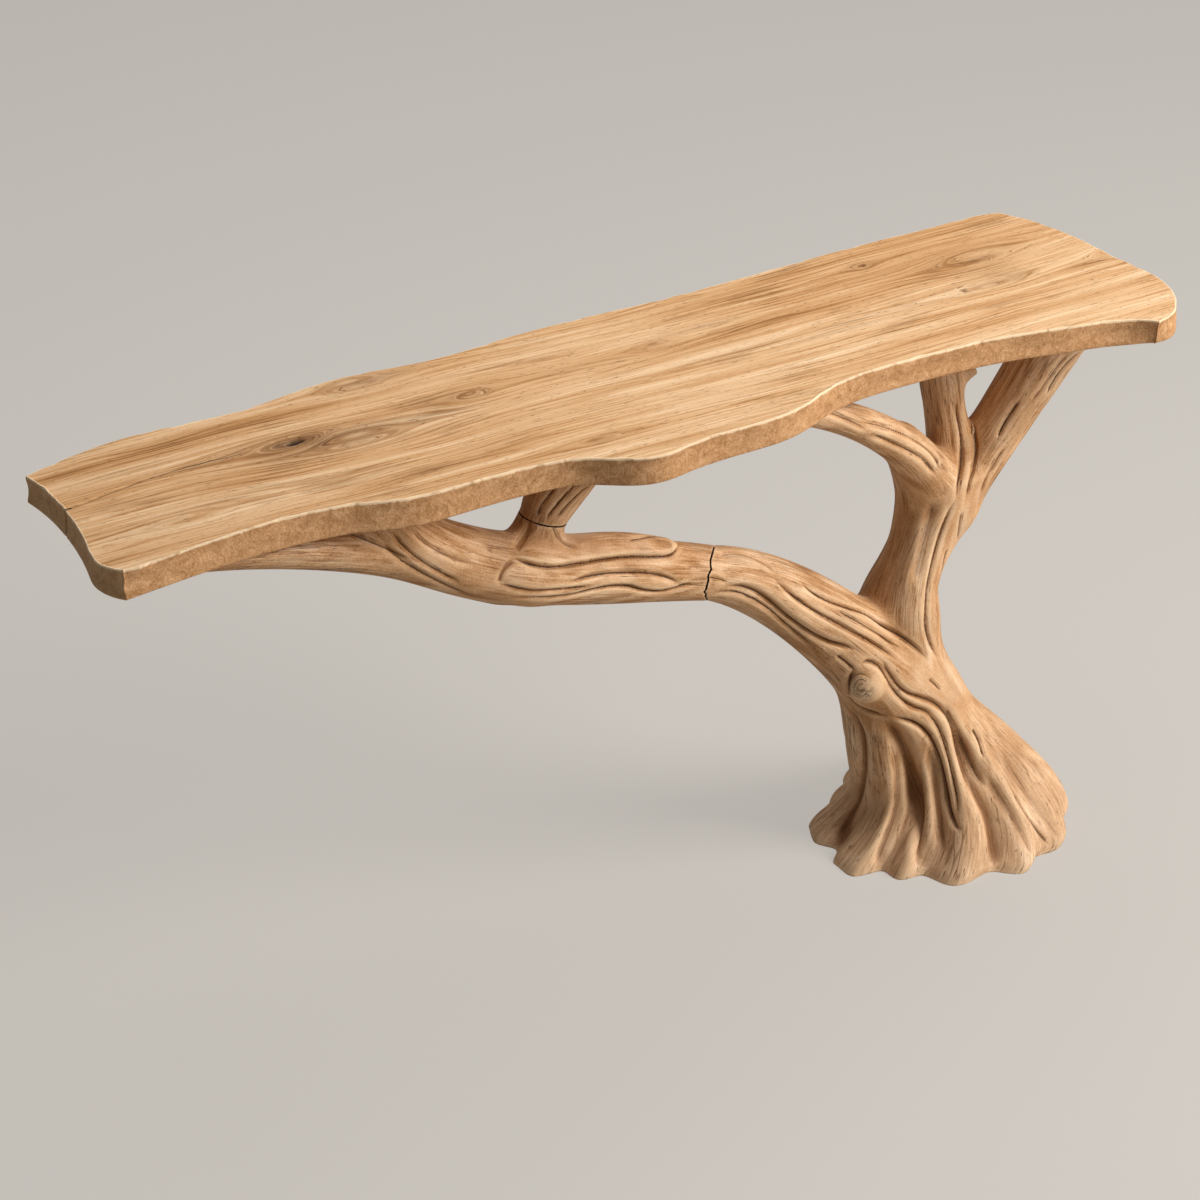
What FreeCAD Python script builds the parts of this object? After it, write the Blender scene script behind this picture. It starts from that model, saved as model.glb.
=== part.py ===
import FreeCAD, Part
import math
import os
import Sketcher
from FreeCAD import Rotation, Vector

# Console table: a live-edge slab carried by a root-flared trunk, its three branches and one long limb.
# Frame: +X along the slab, +Y to the wall side, +Z up, origin on the floor under the slab's middle.

doc = FreeCAD.newDocument("tree_trunk_console_table")
sheet = doc.addObject("Spreadsheet::Sheet", "sizes")

# Sizes in millimetres, turns in degrees, counts as plain numbers.
SIZES = {
    "top_height": 800,
    "slab_length": 1475,
    "slab_width": 379,
    "slab_thickness": 36,
    # root flare and trunk, measured round their leaning axis
    "root_radius": 171,
    "root_lobes": 12,
    "root_lobe_depth": 14,
    "root_lobe_turn": 9,
    "toe_height": 14,
    "toe_round": 8,
    "waist_height": 240,
    "waist_radius": 60,
    "flare_power": 1.6,
    "taper_power": 2.6,
    "flute_depth": 2.5,
    "lobe_power": 0.8,
    "fork_radius": 48,
    "crown_height": 16,
    "crown_radius": 22,
    # seams where the limb and the riser were fitted
    "seam_gap": 2,
    "seam_jag": 4,
    "seam_skew": 25,
    "seam_overrun": 24,
    "ring_gap": 1.5,
    "ring_tilt": 18,
    # joinery hidden in the wood
    "fit_clearance": 0.15,
    "limb_stud_radius": 6,
    "limb_stud_length": 160,
    "limb_dowel_radius": 5,
    "limb_dowel_length": 60,
    "limb_dowel_offset": 18,
    "riser_dowel_radius": 9,
    "riser_dowel_length": 60,
    "seat_stud_radius": 4,
    "seat_stud_length": 40,
    # ballast in the root
    "ballast_x": 513,
    "ballast_y": 14,
    "ballast_floor": 6,
    "ballast_disc_height": 40,
    "ballast_low_radius": 115,
    "ballast_middle_radius": 92,
    "ballast_high_radius": 70,
    "ballast_clearance": 0.5,
    "ballast_rod_radius": 8,
    "ballast_rod_bite": 60,
    "washer_side": 34,
    "washer_height": 3,
    "nut_flats": 24,
    "nut_height": 12,
    "nut_well_radius": 26,
    "nut_well_depth": 16,
    # small natural features
    "knot_radius": 24,
    "knot_stand": 56,
    "knot_share": 0.25,
    "buttress_share": 0.19,
    # how finely the curves are drawn
    "station_step": 38,
    "arc_stray": 1,
}

# Ends of the natural curves and the handles that lead out of them: x, y, z in millimetres.
# The foot stands up from the floor. A handle is measured from its own end, a limb's end from its seat,
# which lies on the slab's underside, and every point with a height below zero hangs from that underside.
POINTS = {
    "root": (501, 12, 0),
    "root_handle": (112, 3, 130),
    "fork_handle": (-206, -3, -265),
    "fork": (486, 12, -219),
    "buttress_start": (450, 26, 30),
    "buttress_start_handle": (-26, 0, 80),
    "buttress_end_handle": (16, 4, -80),
    "stub_start": (446, 12, 205),
    "stub_start_handle": (-86, -6, 118),
    "stub_end_handle": (110, 7, -43),
    "seam": (118, -10, -259),
    "limb_start_handle": (-180, -12, 70),
    "limb_end_handle": (90, 12, -175),
    "limb_end": (-16, -2, 22),
    "limb_seat": (-376, -62),
    "tip_start": (-206, -40, -152),
    "tip_start_handle": (-112, -22, 70),
    "tip_end_handle": (170, 8, -12),
    "tip_end": (-284, -30, 8),
    "ringstub_start": (-156, -33, -168),
    "ringstub_start_handle": (6, 3, 30),
    "ring_handle": (24, 4, 40),
    "ring": (-130, -22, -105),
    "riser_end_handle": (-44, -3, -42),
    "riser_end": (14, 2, 20),
    "riser_seat": (-46, -10),
    "arch_start": (486, 8, -264),
    "arch_start_handle": (-46, -23, 90),
    "arch_end_handle": (160, 48, -66),
    "arch_end": (-62, -18, 20),
    "arch_seat": (203, -108),
    "middle_start": (484, 14, -269),
    "middle_start_handle": (28, 2, 85),
    "middle_end_handle": (-2, -8, -124),
    "middle_end": (0, 1, 20),
    "middle_seat": (472, 33),
    "right_start": (450, 13, -336),
    "right_start_handle": (64, 3, 92),
    "right_end_handle": (-44, 12, -96),
    "right_end": (10, -2, 20),
    "right_seat": (656, -20),
    "knot_way": (-0.58, -0.8, -0.1),
    "spur_start": (484, 26, -100),
    "spur_start_handle": (12, -2, 2),
    "spur_end_handle": (-12, 2, -4),
    "spur_end": (530, 17, -88),
}

# Girth of each limb: radius at its start, at its middle and at its end.
GIRTHS = {
    "buttress": (52, 57, 52),
    "stub": (68, 51, 35),
    "limb": (35, 42, 34),
    "tip": (30, 18, 7),
    "ringstub": (34, 30, 29),
    "riser": (29, 28, 40),
    "arch": (36, 25, 19),
    "middle": (34, 27, 29),
    "right": (32, 31, 42),
    "spur": (8, 8, 5),
}

# The live edge, as shares of half the slab's length and half its width, left corner to right corner.
FRONT_EDGE = [(-0.976, -0.675), (-0.881, -0.617), (-0.759, -0.56), (-0.651, -0.554), (-0.568, -0.602),
              (-0.502, -0.686), (-0.4, -0.707), (-0.271, -0.712), (-0.19, -0.781), (-0.122, -0.945),
              (-0.081, -0.985), (-0.01, -0.94), (0.122, -0.913), (0.197, -0.865), (0.285, -0.718),
              (0.37, -0.652), (0.515, -0.644), (0.65, -0.686), (0.773, -0.786), (0.848, -0.86),
              (0.894, -1.0)]
RIGHT_EDGE = [(0.894, -1.0), (0.957, -0.865), (0.999, -0.45), (0.986, -0.07), (0.968, 0.42), (0.914, 0.955)]
BACK_EDGE = [(0.914, 0.955), (0.88, 0.99), (0.79, 0.99), (0.63, 0.995), (0.41, 0.96), (0.13, 0.94), (-0.11, 0.94),
             (-0.25, 0.905), (-0.39, 0.965), (-0.48, 0.945), (-0.56, 0.882), (-0.7, 0.882), (-0.83, 0.887),
             (-0.92, 0.812), (-0.984, 0.728)]
LEFT_EDGE = [(-0.984, 0.728), (-0.976, 0.24), (-0.986, -0.13), (-1.0, -0.485), (-0.976, -0.675)]

# How far the seam strays from square, from its lowest point to its highest, as shares of seam_jag.
SEAM_JAGS = (0.0, 0.0, 1.0, -0.4, 0.3, 0.1, -1.0, 0.2, 0.2)

SEATED = ("limb", "riser", "arch", "middle", "right")
BALLAST_TIERS = ("low", "middle", "high")
LIMB_SIDES = 14
LOBE_SIDES = 4
KNOT_RINGS = 5
UNDERSIDE = "sizes.top_height - sizes.slab_thickness"


def fill_sheet():
    cells = dict(SIZES)
    for name, place in POINTS.items():
        for axis, value in zip("xyz", place):
            cells[name + "_" + axis] = value
    for name, radii in GIRTHS.items():
        for where, value in zip(("start", "middle", "end"), radii):
            cells[name + "_girth_" + where] = value
    for row, (name, value) in enumerate(cells.items(), start=1):
        sheet.set("A%d" % row, name)
        sheet.set("B%d" % row, str(value))
        sheet.setAlias("B%d" % row, name)
    doc.recompute()


def size(name):
    return float(sheet.get(name))


def point(name):
    return Vector(size(name + "_x"), size(name + "_y"), size(name + "_z"))


def hung(name):
    """A point given by how far it hangs under the slab."""
    return point(name) + Vector(0, 0, underside)


def seat(name):
    """Where a limb's stud meets the slab's underside."""
    return Vector(size(name + "_seat_x"), size(name + "_seat_y"), underside)


def keep(label, shape):
    """A piece of natural wood: a shape of its own in the document."""
    feature = doc.addObject("Part::Feature", label)
    feature.Label = label
    feature.Shape = shape
    return feature


fill_sheet()
underside = size("top_height") - size("slab_thickness")
reach = size("slab_length")


# Curves and lofts of the natural wood

def bezier(start, start_handle, end_handle, end):
    curve = Part.BezierCurve()
    curve.setPoles([start, start + start_handle, end + end_handle, end])
    return curve


def girth(name, share):
    """Radius along a limb: the parabola through its start, middle and end girths."""
    first = size(name + "_girth_start")
    last = size(name + "_girth_end")
    bow = 2 * (first + last) - 4 * size(name + "_girth_middle")
    return first + (last - first - bow) * share + bow * share * share


def ring(centre, across, upward, sides, radius_at):
    """A closed ring of straight sides whose corners stand at a radius given by their angle."""
    corners = []
    for step in range(sides + 1):
        angle = 2 * math.pi * (step % sides) / sides
        out = across * math.cos(angle) + upward * math.sin(angle)
        corners.append(centre + out * radius_at(angle))
    return Part.makePolygon(corners)


def limb_loft(name, curve, before=0.0, after=0.0):
    """A round limb along a curve, square to it at every station and run on past its ends."""
    rings = []
    last = max(4, round(curve.length() / size("station_step")))
    for station in range(last + 1):
        share = station / last
        heading = curve.tangent(share)[0]
        place = curve.value(share)
        if station == 0:
            place = place - heading * before
        if station == last:
            place = place + heading * after
        across = (Vector(0, 1, 0) - heading * heading.y).normalize()
        radius = girth(name, share)
        rings.append(ring(place, across, heading.cross(across), LIMB_SIDES, lambda angle: radius))
    return Part.makeLoft(rings, True, True)


def axis_at(curve, level):
    """The trunk's axis only climbs, so halving finds its place at a height."""
    low, high = 0.0, 1.0
    for _ in range(40):
        middle = (low + high) / 2
        if curve.value(middle).z < level:
            low = middle
        else:
            high = middle
    place = curve.value(low)
    return Vector(place.x, place.y, level)


def trunk_loft():
    """Root flare, leaning trunk and upright: level sections whose lobes fade into shallow flutes."""
    axis = bezier(point("root"), point("root_handle"), point("fork_handle"), hung("fork"))
    waist = size("waist_height")
    top = hung("fork").z
    toe = size("toe_height")
    levels = [0.0, toe / 3, toe]
    levels += [toe + (waist - toe) * step / 6 for step in range(1, 7)]
    levels += [waist + (top - waist) * step / 5 for step in range(1, 6)]
    lobes = int(size("root_lobes"))
    turn = math.radians(size("root_lobe_turn"))
    sides = lobes * LOBE_SIDES
    rings = []
    for level in levels:
        flare = max(0.0, 1 - level / waist) ** size("flare_power")
        taper = min(1.0, 1 - (level - waist) / (top - waist)) ** size("taper_power")
        core = size("fork_radius") + (size("waist_radius") - size("fork_radius")) * taper
        radius = core + (size("root_radius") - size("waist_radius")) * flare
        depth = size("flute_depth") + (size("root_lobe_depth") - size("flute_depth")) * flare
        if level < toe:
            radius -= size("toe_round") * (1 - level / toe) ** 2

        def lobed(angle):
            wave = abs(math.cos(lobes / 2 * (angle - turn))) ** size("lobe_power")
            return radius + depth * (2 * wave - 1)

        rings.append(ring(axis_at(axis, level), Vector(1, 0, 0), Vector(0, 1, 0), sides, lobed))
    crown = hung("fork") + Vector(0, 0, size("crown_height"))
    rings.append(ring(crown, Vector(1, 0, 0), Vector(0, 1, 0), sides, lambda angle: size("crown_radius")))
    return Part.makeLoft(rings, True, True)


def knot_dome():
    """The healed knot on the trunk's front: rings of a ball from its back to near its crown."""
    way = point("knot_way").normalize()
    middle = stub_curve.value(size("knot_share")) + way * size("knot_stand")
    across = (Vector(0, 0, 1) - way * way.z).normalize()
    rings = []
    for step in range(KNOT_RINGS + 1):
        angle = math.radians(-60 + 140 * step / KNOT_RINGS)
        radius = size("knot_radius") * math.cos(angle)
        centre = middle + way * (size("knot_radius") * math.sin(angle))
        rings.append(ring(centre, across, way.cross(across), LIMB_SIDES, lambda angle: radius))
    return Part.makeLoft(rings, True, True)


def to_seat(name, start, start_handle):
    """A limb's curve from its start to its end just past the slab's underside."""
    return bezier(start, start_handle, point(name + "_end_handle"), seat(name) + point(name + "_end"))


seam = hung("seam")
ring_middle = hung("ring")
stub_curve = bezier(point("stub_start"), point("stub_start_handle"), point("stub_end_handle"), seam)
limb_curve = to_seat("limb", seam, point("limb_start_handle"))
tip_curve = bezier(hung("tip_start"), point("tip_start_handle"), point("tip_end_handle"),
                   seat("limb") + point("tip_end"))
ringstub_curve = bezier(hung("ringstub_start"), point("ringstub_start_handle"), point("ring_handle") * -1,
                        ring_middle)
riser_curve = to_seat("riser", ring_middle, point("ring_handle"))
seam_way = stub_curve.tangent(1)[0]
ring_way = point("ring_handle").normalize()
overrun = size("seam_overrun")


# Cutters: what is sawn or bored away from the natural wood

def above_underside():
    return Part.makeBox(2 * reach, 2 * reach, reach, Vector(-reach, -reach, underside))


def past_seam(side):
    """The wood beyond the jagged seam, on the limb's side (1) or the trunk's side (-1)."""
    forward = Vector(seam_way.x, 0, seam_way.z).normalize()
    upward = Vector(seam_way.z, 0, -seam_way.x).normalize()
    half = 2 * size("stub_girth_end")
    edge = []
    for index, share in enumerate(SEAM_JAGS):
        height = half * (2 * index / (len(SEAM_JAGS) - 1) - 1)
        stray = share * size("seam_jag") - side * size("seam_gap") / 2
        edge.append(seam + upward * height + forward * stray)
    far = forward * (side * 3 * half)
    face = Part.Face(Part.makePolygon(edge + [edge[-1] + far, edge[0] + far, edge[0]]))
    skew = math.radians(size("seam_skew"))
    across = Vector(math.sin(skew), math.cos(skew), 0) * (2 * half)
    face.translate(across * -0.5)
    return face.extrude(across)


def past_ring(side):
    """The wood beyond the tilted ring seam, above it (1) or below it (-1)."""
    half = 2 * size("ringstub_girth_start")
    low = -size("ring_gap") / 2 if side > 0 else size("ring_gap") / 2 - 2 * half
    block = Part.makeBox(2 * half, 2 * half, 2 * half, Vector(-half, -half, low))
    block.rotate(Vector(0, 0, 0), Vector(0, 1, 0), size("ring_tilt"))
    block.translate(ring_middle)
    return block


def bore(middle, way, radius, length):
    """A round hole for a rod or dowel centred on a point, with the fit's clearance all round."""
    ease = size("fit_clearance")
    return Part.makeCylinder(radius + ease, length + 2 * ease, middle - way * (length / 2 + ease), way)


def dowel_middles():
    """The two limb dowels stand beside the stud, one in front and one behind."""
    across = (Vector(0, 1, 0) - seam_way * seam_way.y).normalize()
    return [seam + across * (side * size("limb_dowel_offset")) for side in (-1, 1)]


def seam_bores():
    bores = [bore(seam, seam_way, size("limb_stud_radius"), size("limb_stud_length"))]
    for middle in dowel_middles():
        bores.append(bore(middle, seam_way, size("limb_dowel_radius"), size("limb_dowel_length")))
    return bores


def ring_bore():
    return bore(ring_middle, ring_way, size("riser_dowel_radius"), size("riser_dowel_length"))


def seat_bore(name):
    return bore(seat(name), Vector(0, 0, 1), size("seat_stud_radius"), size("seat_stud_length"))


def ballast_well():
    """A stepped hollow for the discs, open at the sole, and the bore for their rod above it."""
    axis = Vector(size("ballast_x"), size("ballast_y"), 0)
    ease = size("ballast_clearance")
    top = size("ballast_floor")
    steps = []
    for tier in BALLAST_TIERS:
        top += size("ballast_disc_height")
        steps.append(Part.makeCylinder(size("ballast_%s_radius" % tier) + ease, top, axis))
    rod_top = top + size("ballast_rod_bite")
    steps.append(Part.makeCylinder(size("ballast_rod_radius") + size("fit_clearance"), rod_top, axis))
    return steps


# The three pieces of natural wood

def make_trunk():
    wood = [limb_loft("stub", stub_curve, after=overrun).cut(past_seam(1))]
    for name in ("arch", "middle", "right"):
        curve = to_seat(name, hung(name + "_start"), point(name + "_start_handle"))
        wood.append(limb_loft(name, curve))
    wood.append(knot_dome())
    wood.append(limb_loft("buttress", bezier(point("buttress_start"), point("buttress_start_handle"),
                                             point("buttress_end_handle"),
                                             stub_curve.value(size("buttress_share")))))
    wood.append(limb_loft("spur", bezier(hung("spur_start"), point("spur_start_handle"),
                                         point("spur_end_handle"), hung("spur_end"))))
    cuts = [above_underside()] + seam_bores() + ballast_well()
    cuts += [seat_bore(name) for name in ("arch", "middle", "right")]
    return trunk_loft().fuse(wood).cut(cuts)


def make_left_limb():
    wood = limb_loft("limb", limb_curve, before=overrun).cut(past_seam(-1))
    fork = [limb_loft("tip", tip_curve), limb_loft("ringstub", ringstub_curve, after=overrun).cut(past_ring(1))]
    return wood.fuse(fork).cut([above_underside(), ring_bore(), seat_bore("limb")] + seam_bores())


def make_riser():
    wood = limb_loft("riser", riser_curve, before=overrun)
    return wood.cut([past_ring(-1), above_underside(), ring_bore(), seat_bore("riser")])


keep("trunk", make_trunk())
keep("left_limb", make_left_limb())
keep("riser_branch", make_riser())


# Sketches and bodies of the sawn and turned pieces

def new_body(label):
    body = doc.addObject("PartDesign::Body", label)
    body.Label = label
    return body


def origin_part(body, role):
    return next(part for part in body.Origin.OriginFeatures if part.Role == role)


def new_sketch(body, name, height="0"):
    sketch = body.newObject("Sketcher::SketchObject", name)
    sketch.AttachmentSupport = (origin_part(body, "XY_Plane"), [""])
    sketch.MapMode = "FlatFace"
    sketch.setExpression("AttachmentOffset.Base.z", height)
    return sketch


def add_circle(sketch, radius, across="0", along="0"):
    """A circle whose radius and centre follow expressions."""
    index = sketch.addGeometry(Part.Circle(Vector(1, 1, 0), Vector(0, 0, 1), 1), False)
    rules = ((Sketcher.Constraint("Radius", index, 1), radius),
             (Sketcher.Constraint("DistanceX", -1, 1, index, 3, 1), across),
             (Sketcher.Constraint("DistanceY", -1, 1, index, 3, 1), along))
    for rule, expression in rules:
        place = sketch.addConstraint(rule)
        sketch.setExpression("Constraints[%d]" % place, expression)


def add_pad(body, sketch, length, both_ways=False):
    pad = body.newObject("PartDesign::Pad", sketch.Name + "_pad")
    pad.Profile = sketch
    pad.setExpression("Length", length)
    if both_ways:
        pad.SideType = "Symmetric"
    doc.recompute()
    return pad


def make_slab():
    """The live-edge plank: four drawn edges and blind bores for the seat studs."""
    body = new_body("slab_top")
    outline = new_sketch(body, "slab_outline", UNDERSIDE)
    for shares in (FRONT_EDGE, RIGHT_EDGE, BACK_EDGE, LEFT_EDGE):
        edge = Part.BSplineCurve()
        edge.interpolate([Vector(across * size("slab_length") / 2, along * size("slab_width") / 2, 0)
                          for across, along in shares])
        for arc in edge.toBiArcs(size("arc_stray")):
            outline.addGeometry(arc, False)
    add_pad(body, outline, "sizes.slab_thickness")
    bores = new_sketch(body, "slab_bores", UNDERSIDE)
    for name in SEATED:
        add_circle(bores, "sizes.seat_stud_radius + sizes.fit_clearance",
                   "sizes.%s_seat_x" % name, "sizes.%s_seat_y" % name)
    pocket = body.newObject("PartDesign::Pocket", "slab_bores_pocket")
    pocket.Profile = bores
    pocket.setExpression("Length", "sizes.seat_stud_length / 2 + sizes.fit_clearance")
    pocket.Reversed = True
    doc.recompute()
    for name in SEATED:
        if pocket.Shape.common(seat_bore(name)).Volume > 0.01 * seat_bore(name).Volume:
            raise ValueError("the %s stud's bore misses the slab" % name)


def make_seat_studs():
    body = new_body("seat_studs")
    sketch = new_sketch(body, "seat_studs_ends", UNDERSIDE)
    for name in SEATED:
        add_circle(sketch, "sizes.seat_stud_radius", "sizes.%s_seat_x" % name, "sizes.%s_seat_y" % name)
    add_pad(body, sketch, "sizes.seat_stud_length", both_ways=True)


def make_pin(label, middle, way, radius, length):
    """A stud or dowel centred on a point along a direction."""
    pin = doc.addObject("Part::Cylinder", label)
    pin.Label = label
    pin.setExpression("Radius", "sizes." + radius)
    pin.setExpression("Height", "sizes." + length)
    pin.Placement = FreeCAD.Placement(middle - way * (size(length) / 2), Rotation(Vector(0, 0, 1), way))
    return pin


def make_limb_dowels():
    pins = []
    for place, middle in zip(("front", "back"), dowel_middles()):
        pins.append(make_pin("limb_dowel_" + place, middle, seam_way, "limb_dowel_radius", "limb_dowel_length"))
    pair = doc.addObject("Part::Compound", "limb_dowels")
    pair.Label = "limb_dowels"
    pair.Links = pins


def on_ballast_axis(thing, height):
    thing.setExpression("Placement.Base.x", "sizes.ballast_x")
    thing.setExpression("Placement.Base.y", "sizes.ballast_y")
    thing.setExpression("Placement.Base.z", height)


def make_disc(label, radius, height):
    """A round steel plate with the rod's hole, at a height on the ballast's axis."""
    body = new_body(label)
    on_ballast_axis(body, height)
    sketch = new_sketch(body, label + "_ring")
    add_circle(sketch, radius)
    add_circle(sketch, "sizes.ballast_rod_radius + sizes.ballast_clearance")
    add_pad(body, sketch, "sizes.ballast_disc_height")
    return body


def make_bored(label, blank, thickness, height):
    """A nut or a plate washer: its blank with the rod's hole through it, on the ballast's axis."""
    hole = doc.addObject("Part::Cylinder", label + "_hole")
    hole.setExpression("Radius", "sizes.ballast_rod_radius + sizes.fit_clearance")
    hole.setExpression("Height", thickness)
    on_ballast_axis(blank, height)
    on_ballast_axis(hole, height)
    piece = doc.addObject("Part::Cut", label)
    piece.Label = label
    piece.Base = blank
    piece.Tool = hole


def make_prism(label, sides, circumradius, thickness):
    blank = doc.addObject("Part::Prism", label)
    blank.Polygon = sides
    blank.setExpression("Circumradius", circumradius)
    blank.setExpression("Height", thickness)
    return blank


def make_ballast():
    """Steel discs, widest at the sole, drawn up the rod by a nut let into the lowest one."""
    for number, tier in enumerate(BALLAST_TIERS):
        disc = make_disc("ballast_disc_%d" % (number + 1), "sizes.ballast_%s_radius" % tier,
                         "sizes.ballast_floor + %d * sizes.ballast_disc_height" % number)
        if number == 0:
            well = new_sketch(disc, "nut_well")
            add_circle(well, "sizes.nut_well_radius")
            pocket = disc.newObject("PartDesign::Pocket", "nut_well_pocket")
            pocket.Profile = well
            pocket.setExpression("Length", "sizes.nut_well_depth")
            pocket.Reversed = True
    rod = doc.addObject("Part::Cylinder", "ballast_rod")
    rod.Label = "ballast_rod"
    rod.setExpression("Radius", "sizes.ballast_rod_radius")
    rod.setExpression("Height", "%d * sizes.ballast_disc_height + sizes.ballast_rod_bite" % len(BALLAST_TIERS))
    on_ballast_axis(rod, "sizes.ballast_floor")
    washer = make_prism("washer_blank", 4, "sizes.washer_side / 2 / cos(45)", "sizes.washer_height")
    washer_height = "sizes.ballast_floor + sizes.nut_well_depth - sizes.washer_height"
    make_bored("ballast_washer", washer, "sizes.washer_height", washer_height)
    nut = make_prism("nut_blank", 6, "sizes.nut_flats / 2 / cos(30)", "sizes.nut_height")
    make_bored("ballast_nut", nut, "sizes.nut_height", washer_height + " - sizes.nut_height")


make_slab()
make_seat_studs()
make_pin("limb_stud", seam, seam_way, "limb_stud_radius", "limb_stud_length")
make_limb_dowels()
make_pin("riser_dowel", ring_middle, ring_way, "riser_dowel_radius", "riser_dowel_length")
make_ballast()
doc.recompute()


# Check every object, then write one file for each sub-part

NODES = ["slab_top", "trunk", "left_limb", "riser_branch", "limb_stud", "limb_dowels", "riser_dowel", "seat_studs"]
NODES += ["ballast_disc_%d" % (number + 1) for number in range(len(BALLAST_TIERS))]
NODES += ["ballast_rod", "ballast_washer", "ballast_nut"]

for thing in doc.Objects:
    if "Invalid" in thing.State or "Error" in thing.State:
        raise ValueError("%s failed to build" % thing.Label)
os.makedirs("parts", exist_ok=True)
for label in NODES:
    shape = doc.getObjectsByLabel(label)[0].Shape
    if shape.isNull() or not shape.isValid() or not shape.Solids:
        raise ValueError("%s has no sound shape" % label)
    shape.exportStep("parts/%s.step" % label)
    print("%-16s %d solids %9.0f mm3" % (label, len(shape.Solids), shape.Volume))
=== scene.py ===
import math
import bmesh
import bpy
import numpy as np
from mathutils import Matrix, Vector
from mathutils.bvhtree import BVHTree


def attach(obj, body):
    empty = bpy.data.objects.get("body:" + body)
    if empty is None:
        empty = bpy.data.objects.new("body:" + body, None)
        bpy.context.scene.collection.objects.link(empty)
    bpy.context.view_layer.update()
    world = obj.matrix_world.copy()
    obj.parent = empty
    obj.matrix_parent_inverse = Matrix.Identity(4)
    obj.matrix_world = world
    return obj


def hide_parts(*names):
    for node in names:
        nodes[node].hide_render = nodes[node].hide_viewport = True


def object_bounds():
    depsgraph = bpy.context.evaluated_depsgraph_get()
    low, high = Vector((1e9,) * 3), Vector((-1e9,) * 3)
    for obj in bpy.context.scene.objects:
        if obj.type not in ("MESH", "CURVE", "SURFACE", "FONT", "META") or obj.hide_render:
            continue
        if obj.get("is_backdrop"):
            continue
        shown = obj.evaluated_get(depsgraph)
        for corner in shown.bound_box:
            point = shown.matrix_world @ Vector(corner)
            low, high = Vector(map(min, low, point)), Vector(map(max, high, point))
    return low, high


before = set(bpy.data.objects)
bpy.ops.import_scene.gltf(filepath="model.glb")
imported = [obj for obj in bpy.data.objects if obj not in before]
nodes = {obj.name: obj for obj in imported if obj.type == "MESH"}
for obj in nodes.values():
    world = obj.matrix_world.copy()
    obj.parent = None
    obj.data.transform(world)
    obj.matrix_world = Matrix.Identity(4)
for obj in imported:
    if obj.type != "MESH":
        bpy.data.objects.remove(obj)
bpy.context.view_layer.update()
scene = bpy.context.scene
scene.view_settings.view_transform = "Standard"
mm = 0.001
chance = np.random.default_rng(11)
print("frame loaded,", len(nodes), "nodes")


# the photograph's camera: where it stands, how it is turned, how wide it sees
photo = {"eye": (-2189.08, -3749.97, 3001.35), "turn": 29.851, "tilt": 30.0, "fov": 17.0, "side": 1200}

turn = math.radians(photo["turn"])
tilt = math.radians(photo["tilt"])
eye = np.array(photo["eye"]) * mm
viewBack = np.array([-math.sin(turn) * math.cos(tilt), -math.cos(turn) * math.cos(tilt), math.sin(tilt)])
viewRight = np.array([math.cos(turn), -math.sin(turn), 0.0])
viewUp = np.cross(viewBack, viewRight)
focal = photo["side"] / 2 / math.tan(math.radians(photo["fov"]) / 2)

cameraData = bpy.data.cameras.new("camera")
cameraData.angle = math.radians(photo["fov"])
cameraData.clip_end = 80
camera = bpy.data.objects.new("camera", cameraData)
camera.location = eye
camera.rotation_euler = Vector(-viewBack).to_track_quat("-Z", "Y").to_euler()
scene.collection.objects.link(camera)
scene.camera = camera


# each pixel's way out of the camera: right and up by its place in the picture, forward by the focal length
def pixelWays(pixels):
    middle = photo["side"] / 2
    across = (pixels[:, :1] - middle) / focal
    upward = (middle - pixels[:, 1:]) / focal
    ways = across * viewRight + upward * viewUp - viewBack
    return ways / np.linalg.norm(ways, axis=1, keepdims=True)


# where each pixel's way meets the level plane at a height
def pixelsAtHeight(pixels, height):
    ways = pixelWays(np.asarray(pixels, float))
    return eye + ways * ((height - eye[2]) / ways[:, 2:])


# a smooth line through points: each span is the cubic of its four nearest points, walked in even parts
def easedLine(points, step):
    points = np.asarray(points, float)
    run = np.vstack([2 * points[0] - points[1], points, 2 * points[-1] - points[-2]])
    a, b, c, d = (part[:, None, :] for part in (run[:-3], run[1:-2], run[2:-1], run[3:]))
    parts = max(2, math.ceil(np.linalg.norm(np.diff(points, axis=0), axis=1).mean() / step))
    t = np.linspace(0, 1, parts, endpoint=False)[None, :, None]
    spans = 2 * b + (c - a) * t + (2 * a - 5 * b + 4 * c - d) * t ** 2 + (3 * b - a - 3 * c + d) * t ** 3
    return np.vstack([0.5 * spans.reshape(-1, points.shape[1]), points[-1:]])


# from 0 at low to 1 at high, with no kink at either end
def ease(values, low, high):
    share = np.clip((values - low) / (high - low), 0, 1)
    return share * share * (3 - 2 * share)


def unit(vectors):
    return vectors / np.maximum(np.linalg.norm(vectors, axis=-1, keepdims=True), 1e-12)


def readPoints(mesh):
    points = np.empty(len(mesh.vertices) * 3, np.float32)
    mesh.vertices.foreach_get("co", points)
    return points.reshape(-1, 3).astype(float)


def readNormals(mesh):
    normals = np.empty(len(mesh.vertices) * 3, np.float32)
    mesh.vertex_normals.foreach_get("vector", normals)
    return normals.reshape(-1, 3).astype(float)


def readEdges(mesh):
    edges = np.empty(len(mesh.edges) * 2, np.int32)
    mesh.edges.foreach_get("vertices", edges)
    return edges.reshape(-1, 2)


def writePoints(mesh, points):
    mesh.vertices.foreach_set("co", points.astype(np.float32).ravel())
    mesh.update()


def writeMark(mesh, name, values):
    kind, key = ("FLOAT_VECTOR", "vector") if values.ndim == 2 else ("FLOAT", "value")
    made = mesh.attributes.new(name, kind, "POINT")
    made.data.foreach_set(key, values.astype(np.float32).ravel())


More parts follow.
